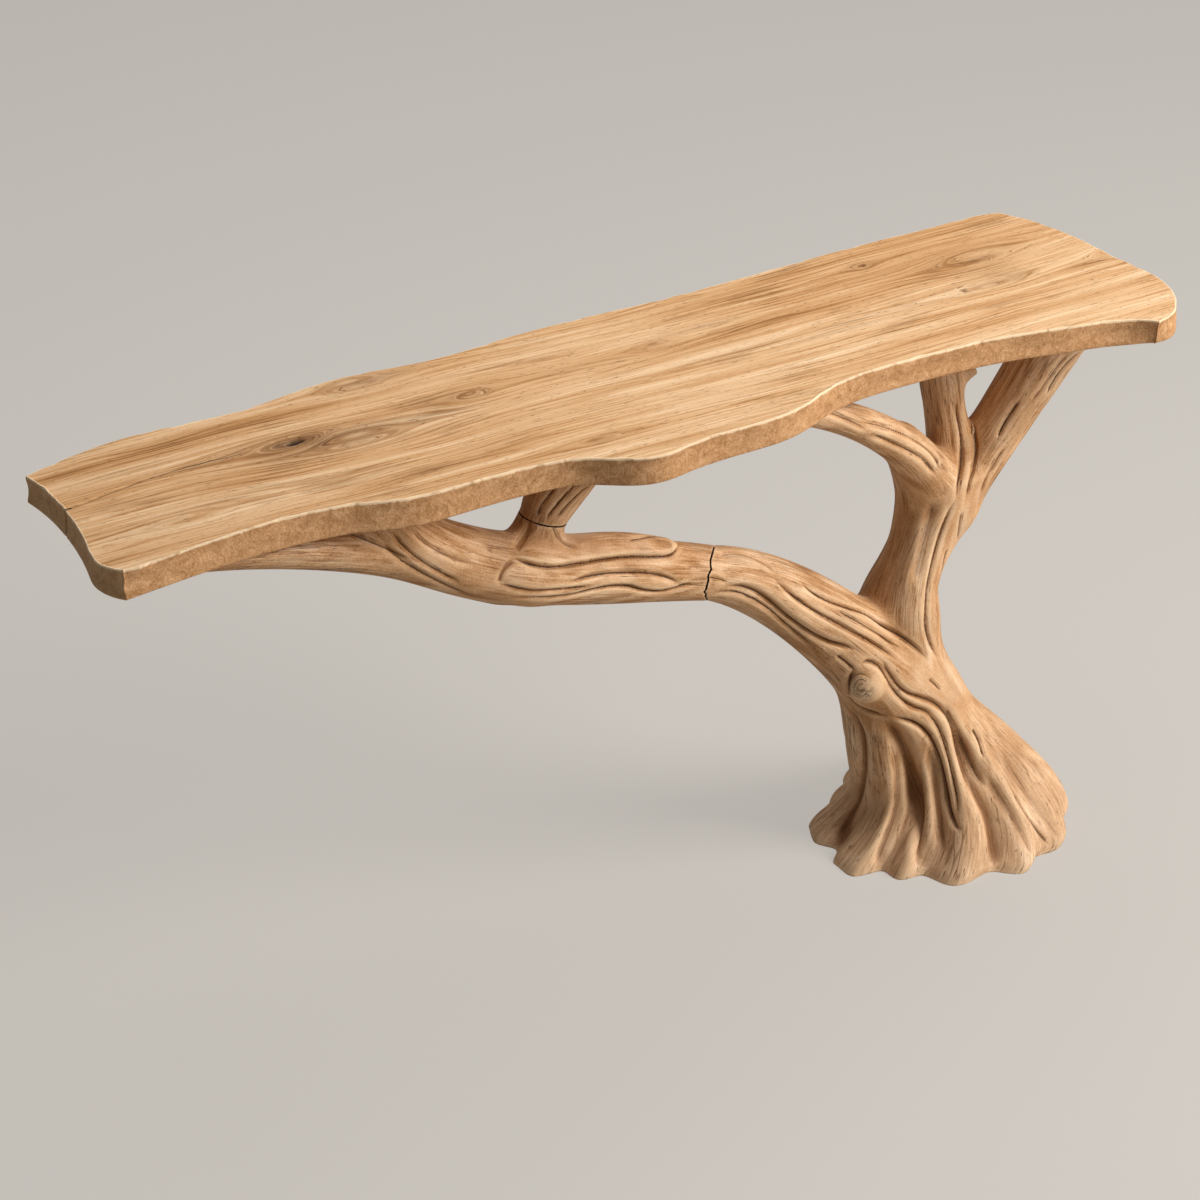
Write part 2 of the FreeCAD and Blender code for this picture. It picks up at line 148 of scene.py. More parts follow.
# the quads of a grid of point numbers, row by row
def gridFaces(index):
    corners = [index[:-1, :-1], index[1:, :-1], index[1:, 1:], index[:-1, 1:]]
    return np.stack(corners, axis=-1).reshape(-1, 4)


# a new mesh in place of this one, with a modifier applied
def modified(mesh, kind, **settings):
    holder = bpy.data.objects.new(mesh.name, mesh)
    scene.collection.objects.link(holder)
    modifier = holder.modifiers.new(kind.lower(), kind)
    for key, value in settings.items():
        setattr(modifier, key, value)
    view = bpy.context.evaluated_depsgraph_get()
    worked = holder.evaluated_get(view)
    made = bpy.data.meshes.new_from_object(worked, preserve_all_data_layers=True, depsgraph=view)
    bpy.data.objects.remove(holder)
    bpy.data.meshes.remove(mesh)
    return made


def newPiece(name, mesh, material, slot, *replaced):
    mesh.polygons.foreach_set("use_smooth", np.ones(len(mesh.polygons), bool))
    mesh.materials.clear()
    mesh.materials.append(material)
    piece = bpy.data.objects.new(name, mesh)
    scene.collection.objects.link(piece)
    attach(piece, "root")
    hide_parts(*replaced)
    print(name, "ready,", len(mesh.vertices), "points")


def hexColor(code):
    channels = [int(code[i:i + 2], 16) / 255 for i in (1, 3, 5)]
    return tuple(c / 12.92 if c <= 0.04045 else ((c + 0.055) / 1.055) ** 2.4 for c in channels) + (1.0,)


# what goes into a node's sockets: values, sockets, or other nodes by their first output
def feed(node, feeds):
    for key, value in feeds.items():
        if isinstance(value, bpy.types.Node):
            value = value.outputs[0]
        if isinstance(value, bpy.types.NodeSocket):
            node.id_data.links.new(value, node.inputs[key])
        else:
            node.inputs[key].default_value = value


# adds a node: its settings, the stops of its ramp if it has one, and what goes into its sockets
def addNode(tree, kind, feeds=None, stops=(), **settings):
    made = tree.nodes.new("ShaderNode" + kind)
    for key, value in settings.items():
        setattr(made, key, value)
    for place, (where, color) in enumerate(stops):
        ramp = made.color_ramp.elements
        stop = ramp[place] if place < len(ramp) else ramp.new(where)
        stop.position = where
        stop.color = hexColor(color)
    feed(made, feeds or {})
    return made


def newMaterial(name):
    material = bpy.data.materials.new(name)
    material.use_nodes = True
    return material, material.node_tree, material.node_tree.nodes["Principled BSDF"]


# a limb: the four poles of its Bezier line, its radius at the start, middle and end, and how far it runs on
# before or after them and how much wider it gets for each mm of that
limbs = {
    "stub": {"poles": ((446, 12, 205), (360, 6, 323), (228, -3, 462), (118, -10, 505)),
             "girth": (68, 51, 35), "after": (46, 0.05)},
    "buttress": {"poles": ((450, 26, 30), (424, 26, 110), (408, 12, 194), (392, 8, 274)),
                 "girth": (52, 57, 52)},
    "arch": {"poles": ((486, 8, 500), (440, -15, 590), (301, -78, 718), (141, -126, 784)),
             "girth": (36, 25, 19)},
    "middle": {"poles": ((484, 14, 495), (512, 16, 580), (470, 26, 660), (472, 34, 784)),
               "girth": (34, 27, 29)},
    "right": {"poles": ((450, 13, 428), (514, 16, 520), (624, -10, 688), (669, -22, 784)),
              "girth": (32, 36.5, 47)},
    "web": {"poles": ((456, 10, 452), (446, 8, 505), (432, 0, 558), (386, -24, 632)),
            "girth": (28, 27, 18)},
    "spur": {"poles": ((484, 26, 664), (496, 24, 666), (518, 19, 672), (530, 17, 676)),
             "girth": (8, 8, 5)},
    "limb": {"poles": ((118, -10, 505), (-62, -22, 575), (-302, -52, 611), (-392, -64, 786)),
             "girth": (35, 42, 34), "before": (46, 0.088)},
    "tip": {"poles": ((-206, -40, 612), (-318, -62, 682), (-490, -84, 760), (-660, -92, 772)),
            "girth": (31, 25, 11)},
    "tongue": {"poles": ((-130, -38, 608), (-80, -34, 607), (-25, -30, 596), (36, -26, 567)),
               "girth": (15, 18, 14)},
    "ringStub": {"poles": ((-156, -33, 596), (-150, -30, 626), (-154, -26, 619), (-130, -22, 659)),
                 "girth": (34, 30, 29), "after": (12, 0.2)},
    "riser": {"poles": ((-130, -22, 659), (-106, -18, 699), (-70, -11, 742), (-20, -8, 784)),
              "girth": (29, 42, 52), "before": (12, 0), "after": (36, 0)},
}

# the root flare: its leaning axis, its radius at the waist and at the fork, the toes and hollows about it
# as angle and reach, and the ballast's well as x, y, radius and depth
root = {
    "axis": ((501, 12, 0), (613, 15, 130), (280, 9, 280), (486, 12, 545)), "top": 545,
    "waist": 60, "fork": 48, "flareHeight": 240, "flarePower": 1.6, "taperPower": 2.6,
    "toeRound": 9, "toeHeight": 16, "sink": 15, "domeFlat": 2.2, "grainGirth": 90, "grainLean": 0.6,
    "toes": ((8, 178), (42, 176), (76, 173), (108, 170), (133, 160), (157, 187), (169, 190), (188, 194),
             (198, 199), (217, 172), (244, 174), (279, 180), (307, 184), (337, 184)),
    "hollows": ((24, 158), (58, 154), (92, 156), (122, 152), (144, 158), (179, 172), (208, 163), (228, 153),
                (264, 154), (291, 166), (322, 174), (353, 160)),
    "well": (513, 14, 115.5, 47),
    # where the upright is fuller or leaner than its taper: height, spread, facing angle and mm
    "swells": ((446, 52, 150, -17), (352, 40, 330, 6), (545, 80, 90, -26)),
}

# the burl knob, and the reach in pixels and the depth in mm of each ring on its face
knob = {"middle": (341.5, -36.4, 290), "radius": 24, "way": (0.4, 0.1, -0.9),
        "pixel": (861, 688), "rings": ((3.6, 1.2), (8.2, 1.2), (13.5, 1.0))}
# the jagged seam's skew lets the camera look straight into it; its jags are height and shift in mm
seam = {"middle": (118, -10, 505), "skew": 39, "gap": 2.9, "rim": 37, "reach": 100,
        "jags": ((-60, -12), (-38, -12), (-31, -8), (-25, -5.7), (-20, -7.5), (-16, -6.4), (-11, -2),
                 (-7, -2.7), (-1, 2.4), (3, 0.5), (7, 1.2), (17, 2.4), (22, 5), (28, 3.7),
                 (35, 9.4), (60, 9.4))}
ringSeam = {"middle": (-130, -22, 659), "tilt": 18, "gap": 1.7, "rim": 28, "reach": 80}
cutHeight = 0.766  # the limbs run 2 mm into the plank, so no light shows at their seats
cutStep = 2.5 * mm  # how far apart the points on a cut's line are
apartStep = 0.7  # sets the noise of one limb or one cut apart from the next one's


# a cubic Bezier: its four poles weighed by the cubic's four shares
def bezierLine(poles, rows):
    t = np.linspace(0, 1, rows)
    basis = np.stack([(1 - t) ** 3, 3 * t * (1 - t) ** 2, 3 * t ** 2 * (1 - t), t ** 3], axis=1)
    return basis @ (np.array(poles, float) * mm)


# a limb's line, run on straight at its ends; the radius is the parabola through its three girths
def limbLine(name, rows=64):
    limb = limbs[name]
    line = bezierLine(limb["poles"], rows)
    t = np.linspace(0, 1, rows)
    first, half, last = limb["girth"]
    radius = mm * (first * (1 - t) * (1 - 2 * t) + half * 4 * t * (1 - t) + last * t * (2 * t - 1))
    for end in ("before", "after"):
        line, radius = line[::-1], radius[::-1]
        if end in limb:
            run, swell = limb[end]
            steps = np.linspace(0, run * mm, 4)[1:]
            line = np.vstack([line, line[-1] + steps[:, None] * unit(line[-1] - line[-2])])
            radius = np.append(radius, radius[-1] + swell * steps)
    return line, radius


# the line's way, and across and over: the two directions square to it, across as near to the table's depth
# as it can be
def lineFrame(line):
    ways = unit(np.gradient(line, axis=0))
    across = unit(np.array([0, 1.0, 0]) - ways * ways[:, 1:2])
    return ways, across, np.cross(ways, across)


# a grid of rows by sides, closed round, with a fan at each end
def closedTube(rings):
    rows, sides, _ = rings.shape
    index = np.arange(rows * sides).reshape(rows, sides)
    turned = np.roll(index, -1, axis=1)
    walls = gridFaces(np.hstack([index, index[:, :1]]))[:, [0, 3, 2, 1]]
    ends = np.vstack([rings[0].mean(0), rings[-1].mean(0)])
    low, high = rows * sides, rows * sides + 1
    fans = [[low, b, a] for a, b in zip(index[0], turned[0])]
    fans += [[high, a, b] for a, b in zip(index[-1], turned[-1])]
    return np.vstack([rings.reshape(-1, 3), ends]), walls.tolist() + fans


# a circle carried along the limb's line, as wide as the limb is there
def limbTube(name, sides=36):
    line, radius = limbLine(name)
    ways, across, over = lineFrame(line)
    angle = np.linspace(0, 2 * np.pi, sides, endpoint=False)[None, :, None]
    circle = np.cos(angle) * across[:, None] + np.sin(angle) * over[:, None]
    return closedTube(line[:, None] + radius[:, None, None] * circle)


rootAxis = bezierLine(root["axis"], 200)
soleMarks = np.array(sorted(root["toes"] + root["hollows"]), float)
soleMarks = np.vstack([soleMarks[-1] - (360, 0), soleMarks, soleMarks[0] + (360, 0)])


# how far the sole reaches at an angle: a cosine from each toe to the hollow beside it
def soleReach(angle):
    degrees = np.degrees(angle) % 360
    after = np.clip(np.searchsorted(soleMarks[:, 0], degrees), 1, len(soleMarks) - 1)
    share = (degrees - soleMarks[after - 1, 0]) / (soleMarks[after, 0] - soleMarks[after - 1, 0])
    blend = (1 - np.cos(np.pi * share)) / 2
    return mm * (soleMarks[after - 1, 1] * (1 - blend) + soleMarks[after, 1] * blend)


# the radius at a height and angle: the trunk's core, and out to the sole's reach by a power of the height
# left; the toes round in at the floor
def flareRadius(height, angle):
    top, flare, waist, fork = (root[key] * mm for key in ("top", "flareHeight", "waist", "fork"))
    level = np.clip(height, 0, top)
    left = np.clip(1 - level / flare, 0, 1) ** root["flarePower"]
    taper = np.clip(1 - (level - flare) / (top - flare), 0, 1) ** root["taperPower"]
    core = fork + (waist - fork) * taper
    for place, spread, facing, swell in root["swells"]:
        band = np.exp(-((level - place * mm) / (spread * mm)) ** 2)
        core = core + swell * mm * band * ease(np.cos(angle - math.radians(facing)), -0.2, 0.9)
    foot = np.clip(1 - height / (root["toeHeight"] * mm), 0, 1) ** 2 * root["toeRound"] * mm
    return core + (soleReach(angle) - waist) * left - foot


# x and y of the leaning axis at a height
def axisAt(level):
    return [np.interp(level, rootAxis[:, 2], rootAxis[:, k]) for k in (0, 1)]


# places on the flare: out from the axis at that height, at that angle, by the flare's radius
def flarePlaces(level, angle):
    radius = flareRadius(level, angle)
    x, y = axisAt(level)
    return np.stack([x + radius * np.cos(angle), y + radius * np.sin(angle), level], axis=-1)


# level rings about the leaning axis: close together at the toes, then even to just past the top
def rootTube(sides=180):
    toes = np.linspace(0, 20 * mm, 6)
    upright = np.linspace(26 * mm, (root["top"] + 5) * mm, 90)
    heights = np.concatenate([[-root["sink"] * mm], toes, upright])
    angle = np.linspace(0, 2 * np.pi, sides, endpoint=False)
    return closedTube(flarePlaces(*np.meshgrid(heights, angle, indexing="ij")))


# each reach gives the distance to the skin, the way out of it, the way of its grain, and the run along that
# grain and round it; a limb's distance is that to the nearest place on its line, less its radius there
def limbReach(points, name):
    line, radius = limbLine(name)
    ways, across, over = lineFrame(line)
    nearest = ((points ** 2).sum(1)[:, None] - 2 * points @ line.T + (line ** 2).sum(1)).argmin(1)
    step = np.gradient(line, axis=0)[nearest]
    swell = np.gradient(radius)[nearest]
    share = np.clip(((points - line[nearest]) * step).sum(1) / (step ** 2).sum(1), -0.6, 0.6)
    out = points - line[nearest] - share[:, None] * step
    away = np.linalg.norm(out, axis=1)
    run = np.concatenate([[0], np.cumsum(np.linalg.norm(np.diff(line, axis=0), axis=1))])
    along = run[nearest] + share * np.linalg.norm(step, axis=1)
    angle = np.arctan2((out * over[nearest]).sum(1), (out * across[nearest]).sum(1))
    grain = np.stack([along, angle * radius.mean()], axis=1)
    return away - radius[nearest] - share * swell, out / np.maximum(away, 1e-9)[:, None], ways[nearest], grain


# the root's: the level distance from the leaning axis less the flare's radius, eased by the slope
def rootReach(points):
    level = np.minimum(points[:, 2], root["top"] * mm)
    out = points - np.stack(axisAt(level) + [level], axis=1)
    out[:, 2] *= root["domeFlat"]  # a low dome closes the fork
    away = np.linalg.norm(out, axis=1)
    angle = np.arctan2(out[:, 1], out[:, 0])
    radius = flareRadius(level, angle)
    step = 2 * mm
    slope = (flareRadius(level + step, angle) - flareRadius(level - step, angle)) / (2 * step)
    slope = np.where(level < 20 * mm, slope * 0.3, slope)  # less at the toes, which turn in at the floor
    aim = out / np.maximum(away, 1e-9)[:, None]
    aim[:, 2] -= slope
    skyward = np.stack([aim[:, 0] * slope, aim[:, 1] * slope, np.ones(len(points))], axis=1)
    run = points[:, 2] - root["grainLean"] * away
    grain = np.stack([run, angle * root["grainGirth"] * mm], axis=1)
    return (away - radius) / np.sqrt(1 + slope ** 2), unit(aim), unit(skyward), grain


def knobReach(points):
    out = points - np.array(knob["middle"]) * mm
    away = np.linalg.norm(out, axis=1)
    way = np.tile(knob["way"], (len(points), 1))
    return away - knob["radius"] * mm, out / away[:, None], way, np.zeros((len(points), 2))


# the wood's skin where limbs grow together: a soft least distance, in which near limbs share in proportion
def grownTogether(points, names, blend):
    own = {"root": rootReach, "knob": knobReach}
    reaches = [own[n](points) if n in own else limbReach(points, n) for n in names]
    far = np.stack([r[0] for r in reaches])
    least = far.min(0)
    part = np.exp(-(far - least) / blend)
    total = part.sum(0)
    part /= total
    aim = sum(p[:, None] * r[1] for p, r in zip(part, reaches))
    return least - blend * np.log(total), aim, part, reaches


# one closed skin of even quads round all the tubes, moved onto the soft least distance and eased
def grownSkin(name, tubes, names, voxel, blend):
    points, faces = [], []
    for tubePoints, tubeFaces in tubes:
        start = sum(len(p) for p in points)
        points.append(tubePoints)
        faces += [[start + corner for corner in face] for face in tubeFaces]
    rough = bpy.data.meshes.new(name)
    rough.from_pydata(np.vstack(points), [], faces)
    skin = modified(rough, "REMESH", mode="VOXEL", voxel_size=voxel)
    points = readPoints(skin)
    mostMove, strayFrom, leastAim = 8 * mm, 30 * mm, 0.3
    for _ in range(4):
        far, aim, _, _ = grownTogether(points, names, blend)
        move = np.clip(far, -mostMove, mostMove) * (np.abs(far) < strayFrom)
        points -= (move / np.maximum((aim ** 2).sum(1), leastAim))[:, None] * aim
    writePoints(skin, evened(points, readEdges(skin), 0.5, 3))
    return skin


# the same skin with fewer triangles: takes them out where it is flattest
def thinned(skin, most):
    count = len(skin.loops) - 2 * len(skin.polygons)
    return modified(skin, "DECIMATE", ratio=min(1, most / count))


# each point moves part of the way to the mean of its neighbours
def evened(values, edges, share, rounds):
    a, b = edges.T
    count = np.bincount(a, minlength=len(values)) + np.bincount(b, minlength=len(values))
    columns = values.reshape(len(values), -1)
    for _ in range(rounds):
        near = [np.bincount(a, c[b], len(values)) + np.bincount(b, c[a], len(values)) for c in columns.T]
        columns = columns + share * (np.stack(near, axis=1) / np.maximum(count, 1)[:, None] - columns)
    return columns.reshape(values.shape)


# chance values drawn out along the grain: each takes the mean of its neighbours, those along the grain most
def drawnOut(values, points, edges, ways, rounds, sharp):
    own, stray = 0.25, 0.22  # what a value keeps of itself each time, and how wide they spread in the end
    a, b = edges.T
    lean = np.abs((unit(points[b] - points[a]) * unit(ways[a] + ways[b])).sum(1)) ** sharp
    total = np.bincount(a, lean, len(values)) + np.bincount(b, lean, len(values)) + 1e-6
    for _ in range(rounds):
        near = np.bincount(a, lean * values[b], len(values)) + np.bincount(b, lean * values[a], len(values))
        values = own * values + (1 - own) * near / total
    return np.clip(0.5 + stray * (values - values.mean()) / values.std(), 0, 1)


# cuts the skin level under the plank's top, and at the floor where it has a sole
def cutLevel(skin, sole):
    body = bmesh.new()
    body.from_mesh(skin)
    for height, way in ((cutHeight, 1), (0, -1))[:1 + sole]:
        whole = body.verts[:] + body.edges[:] + body.faces[:]
        bmesh.ops.bisect_plane(body, geom=whole, plane_co=(0, 0, height), plane_no=(0, 0, way),
                               clear_outer=True)
    edges = [e for e in body.edges if e.is_boundary and e.verts[0].co.z > mm]
    bmesh.ops.triangle_fill(body, edges=edges, use_beauty=True, normal=(0, 0, 1))
    body.to_mesh(skin)
    body.free()


# closes the sole: level in from the floor's edge to the well's mouth, up the well's wall and across its top
def closeSole(skin, well):
    kept = len(skin.vertices)
    body = bmesh.new()
    body.from_mesh(skin)
    loop = [e for e in body.edges if e.is_boundary]
    rim = len(loop)
    for _ in range(2):
        grown = bmesh.ops.extrude_edge_only(body, edges=loop)["geom"]
        loop = [e for e in grown if isinstance(e, bmesh.types.BMEdge) and e.is_boundary]
    bmesh.ops.contextual_create(body, geom=loop)
    bmesh.ops.recalc_face_normals(body, faces=body.faces[:])
    print("sole closed,", rim, "edges round it,", sum(e.is_boundary for e in body.edges), "open")
    body.to_mesh(skin)
    body.free()
    points = readPoints(skin)
    x, y, radius, top = (value * mm for value in well)
    angle = np.arctan2(points[kept:, 1] - y, points[kept:, 0] - x)
    points[kept:, 0] = x + radius * np.cos(angle)
    points[kept:, 1] = y + radius * np.sin(angle)
    points[kept + rim:, 2] = top
    writePoints(skin, points)
    return kept


# a dark cut is a crease: a narrow cleft in a wide shoulder with a low lip; a pale one is a broad valley; it
# fades over a share of its length, and reaches as far as some of its half widths or a least reach in mm
cutForm = {"creaseDark": 0.3, "shadedCleft": 0.66, "shoulder": 0.34, "lip": 0.07, "shoulderWide": 2.6,
           "liftReach": 16, "liftFrom": 0.8, "fade": (-0.02, 0.18), "reach": (4, 24)}


# depth of a cut beside its line, which fades at both ends; lift raises the side on the left of the line;
# also its fade, the nearest place on its line, the signed distance from it and its way there
def carve(points, line, depth, width, dark, lift):
    widths, least = cutForm["reach"]
    reach = max(widths * width, least * mm)
    near = np.flatnonzero(((points > line.min(0) - reach) & (points < line.max(0) + reach)).all(1))
    square = (points[near] ** 2).sum(1)[:, None] - 2 * points[near] @ line.T + (line ** 2).sum(1)
    place = square.argmin(1)
    away = np.sqrt(np.maximum(square[np.arange(len(near)), place], 0))
    aim = unit(np.gradient(line, axis=0))
    left = np.cross(unit(eye - line), aim)
    side = np.sign(((points[near] - line[place]) * left[place]).sum(1))
    share = place / (len(line) - 1)
    fade = ease(np.minimum(share, 1 - share), *cutForm["fade"])
    far = away / width
    wide = cutForm["shoulderWide"]
    sunk = np.exp(-far ** 2)
    if dark > cutForm["creaseDark"]:
        sunk = cutForm["shadedCleft"] * sunk + cutForm["shoulder"] * np.exp(-(far / wide) ** 2)
        sunk = sunk - cutForm["lip"] * np.exp(-(far - wide) ** 2)
    raised = np.exp(-(away / (cutForm["liftReach"] * mm)) ** 2)
    raised = raised * (1 - np.exp(-(far / cutForm["liftFrom"]) ** 2))
    return near, fade * (depth * sunk - lift * (side > 0) * raised), fade, place, away * side, aim[place]


# the photograph's cuts in each piece: depth and half width in mm, how dark their painted shade is, lift in
# mm, then its pixels
trunkCuts = {
    "stubUpper": (5, 2.6, 0.9, 0, ((798, 579), (812, 591), (828, 600), (848, 607), (866, 613),
        (882, 624), (897, 634), (916, 648), (930, 661))),
    "stubSecond": (5, 2.6, 0.9, 0, ((773, 577), (786, 589), (800, 601), (818, 613), (835, 622),
        (855, 633), (872, 642), (884, 650), (898, 660))),
    "stubThird": (3.5, 2.3, 0.8, 0, ((836, 609), (852, 618), (870, 628), (885, 638), (896, 646))),
    "stubShade": (6, 4.2, 0.7, 2, ((722, 587), (740, 587), (756, 592), (770, 602), (786, 616),
        (805, 630), (825, 641), (845, 647), (858, 651))),
    "stubLowest": (3.6, 2.6, 0.8, 0, ((711, 592), (735, 593), (753, 600), (768, 610), (784, 624),
        (800, 637), (814, 647))),
    "stubShoulder": (3, 7, 0.1, 0, ((716, 556), (732, 553), (750, 556), (766, 564), (780, 575))),
    "seamCrack": (2, 1.6, 0.8, 0, ((709, 577), (718, 579), (728, 582))),
    "knobSlit": (3.5, 2.2, 0.8, 0, ((836, 655), (846, 663), (855, 671))),
    "knobLeft": (5, 2.8, 0.8, 0, ((857, 668), (850, 678), (847, 689), (850, 700), (860, 708),
        (872, 713), (888, 717))),
    "knobTop": (5, 3, 0.8, 0, ((858, 666), (868, 662), (880, 667), (888, 678), (894, 691), (903, 701),
        (914, 708), (926, 712), (935, 719))),
    "foldOuter": (5.5, 3, 0.7, 0, ((872, 656), (884, 664), (891, 674), (899, 687), (908, 694),
        (920, 698), (932, 702), (942, 709), (950, 720), (955, 734), (960, 752), (965, 772), (969, 798))),
    "foldStrand": (4.5, 2.8, 0.8, 0, ((926, 713), (936, 723), (943, 738), (948, 756), (952, 776),
        (956, 796), (958, 816))),
    "foldInner": (6, 3, 0.9, 0, ((890, 716), (903, 720), (915, 724), (925, 731), (933, 742),
        (938, 756), (942, 772), (946, 792), (950, 812), (956, 826), (962, 829))),
    "foldRight": (4, 3.4, 0.5, 0, ((944, 704), (954, 720), (964, 744), (974, 768), (986, 790))),
    "rootSlit": (4.5, 2.2, 0.9, 0, ((972, 728), (978, 737), (982, 748), (984, 758))),
    "valleyMiddle": (14, 11, 0.25, 0, ((884, 720), (894, 734), (903, 748), (909, 764), (913, 782),
        (917, 804), (919, 830), (920, 855), (920, 880))),
    "valleyLeft": (12, 10, 0.25, 0, ((846, 704), (853, 721), (859, 738), (861, 757), (860, 776),
        (856, 795), (849, 815), (842, 832), (836, 850))),
    "valleyRight": (8, 9, 0.25, 0, ((955, 730), (962, 750), (968, 772), (977, 793), (987, 813),
        (992, 833), (994, 852), (995, 874))),
    "valleyLow": (6, 8, 0.15, 0, ((890, 742), (896, 762), (898, 784), (896, 806), (890, 828),
        (882, 850), (876, 872))),
    "toeFoldA": (3.5, 8, 0.2, 0, ((985, 775), (1000, 798), (1016, 824), (1030, 848), (1038, 864))),
    "toeFoldB": (2.4, 2.6, 0.5, 0, ((1010, 786), (1024, 810), (1038, 831), (1050, 846))),
    "toeFoldC": (1.5, 6, 0.1, 0, ((998, 750), (1016, 777), (1034, 803), (1054, 830), (1068, 846))),
    "toeFoldD": (4, 7, 0.1, 0, ((930, 742), (934, 766), (937, 795), (940, 825), (944, 856))),
    "rootNick": (2.6, 2, 0.8, 0, ((929, 679), (935, 684), (941, 690))),
    "uprightLeft": (4.5, 2.8, 0.7, 0, ((956, 499), (948, 516), (940, 538), (934, 560), (929, 584),
        (927, 606), (927, 628), (932, 646), (940, 660))),
    "uprightSlit": (4.5, 2.2, 0.9, 0, ((948, 548), (944, 564), (940, 582), (937, 600))),
    "uprightEdge": (4, 8, 0.1, 0, ((934, 500), (929, 520), (924, 542), (919, 564), (913, 588))),
    "uprightRight": (2.4, 2.6, 0.4, 0, ((962, 512), (958, 540), (955, 566), (954, 592), (957, 620),
        (962, 645))),
    "middleLeft": (5.5, 3.2, 0.8, 0, ((956, 401), (959, 416), (962, 432), (963, 449), (962, 466),
        (960, 482), (956, 500))),
    "middleRight": (4, 2.8, 0.6, 0, ((967, 405), (973, 425), (976, 445), (975, 462), (971, 482),
        (966, 502))),
    "archLower": (4.5, 2.5, 0.8, 0, ((868, 434), (882, 439), (896, 445), (911, 452), (923, 459),
        (931, 468), (936, 474))),
    "archUpper": (3.2, 2.4, 0.6, 0, ((858, 422), (872, 424), (888, 428), (904, 434), (920, 443),
        (931, 452), (938, 462), (938, 470))),
    "archTop": (2, 2.2, 0.4, 0, ((800, 402), (818, 408), (836, 415), (854, 423), (870, 431))),
    "rightFirst": (3.6, 2.4, 0.8, 0, ((1082, 351), (1071, 361), (1061, 372), (1053, 384), (1047, 396))),
    "rightSecond": (2.4, 2.4, 0.5, 0, ((1070, 354), (1060, 364), (1050, 378), (1040, 392), (1030, 404))),
    "rightSlit": (3.4, 2.2, 0.8, 0, ((1020, 400), (1011, 413), (1003, 426), (997, 440))),
    "rightLow": (2.4, 2.6, 0.4, 0, ((1006, 446), (996, 462), (987, 478), (980, 496))),
}
ringTurn = np.linspace(-0.6, 2 * np.pi - 0.2, 16)
ringPixels = np.stack([0.92 * np.cos(ringTurn), np.sin(ringTurn)], axis=1)
for number, (reach, depth) in enumerate(knob["rings"]):
    trunkCuts["knobRing" + str(number)] = (depth, 1.6, 0.4, 0, np.array(knob["pixel"]) + reach * ringPixels)
limbCuts = {
    "tongue": (4.5, 2.6, 0.8, 5, ((512, 557), (522, 561), (535, 565), (552, 567), (575, 564),
        (600, 560), (625, 557), (650, 557), (667, 556), (675, 552), (678, 545), (674, 538), (664, 535))),
    "leafUpper": (4.5, 2.6, 0.8, 0, ((566, 583), (585, 578), (606, 574), (630, 573), (652, 574),
        (668, 578), (684, 586))),
    "leafLower": (4.5, 2.6, 0.9, 1.5, ((508, 597), (540, 598), (568, 596), (590, 591), (610, 587),
        (628, 587), (645, 591), (660, 592), (675, 589), (688, 585), (706, 587))),
    "third": (3.6, 2.5, 0.8, 1, ((501, 584), (514, 588), (532, 591), (556, 590), (576, 588), (594, 586))),
    "bulge": (3.5, 5, 0.25, 0, ((500, 585), (502, 576), (508, 567), (516, 560))),
    "leftLong": (3, 2.6, 0.6, 0, ((392, 531), (401, 544), (414, 556), (430, 567), (446, 576),
        (462, 584))),
    "leftLow": (3, 2.6, 0.6, 0, ((380, 539), (394, 555), (412, 568), (430, 578), (450, 588), (472, 596))),
    "leftTop": (2, 2.4, 0.4, 0, ((410, 528), (424, 542), (440, 552), (458, 560), (478, 565))),
    "rough": (2, 1.8, 0.8, 0, ((628, 541), (642, 538), (656, 536), (664, 537))),
    "tipLine": (2, 2, 0.5, 0, ((330, 524), (350, 533), (370, 542), (392, 552), (414, 562))),
    "stubRise": (3, 6, 0.2, 0, ((531, 516), (528, 528), (522, 540), (515, 552))),
    "stubRiseB": (2, 2.4, 0.4, 0, ((552, 523), (556, 534), (566, 544), (580, 550))),
}
riserCuts = {
    "first": (2.6, 2.1, 0.8, 0, ((546, 520), (553, 510), (564, 497), (577, 484), (584, 478))),
    "second": (2.2, 2, 0.7, 0, ((537, 517), (541, 506), (549, 495), (556, 488))),
    "third": (2.4, 2, 0.8, 0, ((556, 520), (566, 508), (578, 496), (589, 486))),
}


# a cut's pixels, eased and sent out of the camera onto the piece
def cutLine(tree, pixels):
    spots = easedLine(pixels, 2.2)
    hits = [tree.ray_cast(Vector(eye), Vector(way))[0] for way in pixelWays(spots)]
    return np.array([hit for hit in hits if hit is not None]).reshape(-1, 3)


# cuts that the camera doesn't see: half width in mm and darkness of those round the limbs, how far they turn
# and swing on their way, and the latest start and earliest end; then depth, half width and darkness of the
# root's folds, their least and further height, and their lean in radians to the metre
unseen = {"wide": 2.6, "dark": 0.7, "turn": 0.7, "swing": 0.22, "start": 0.35, "end": 0.65,
          "foldDeep": 11, "foldWide": 10, "foldDark": 0.2, "foldHigh": (200, 80), "foldLean": 1.4}


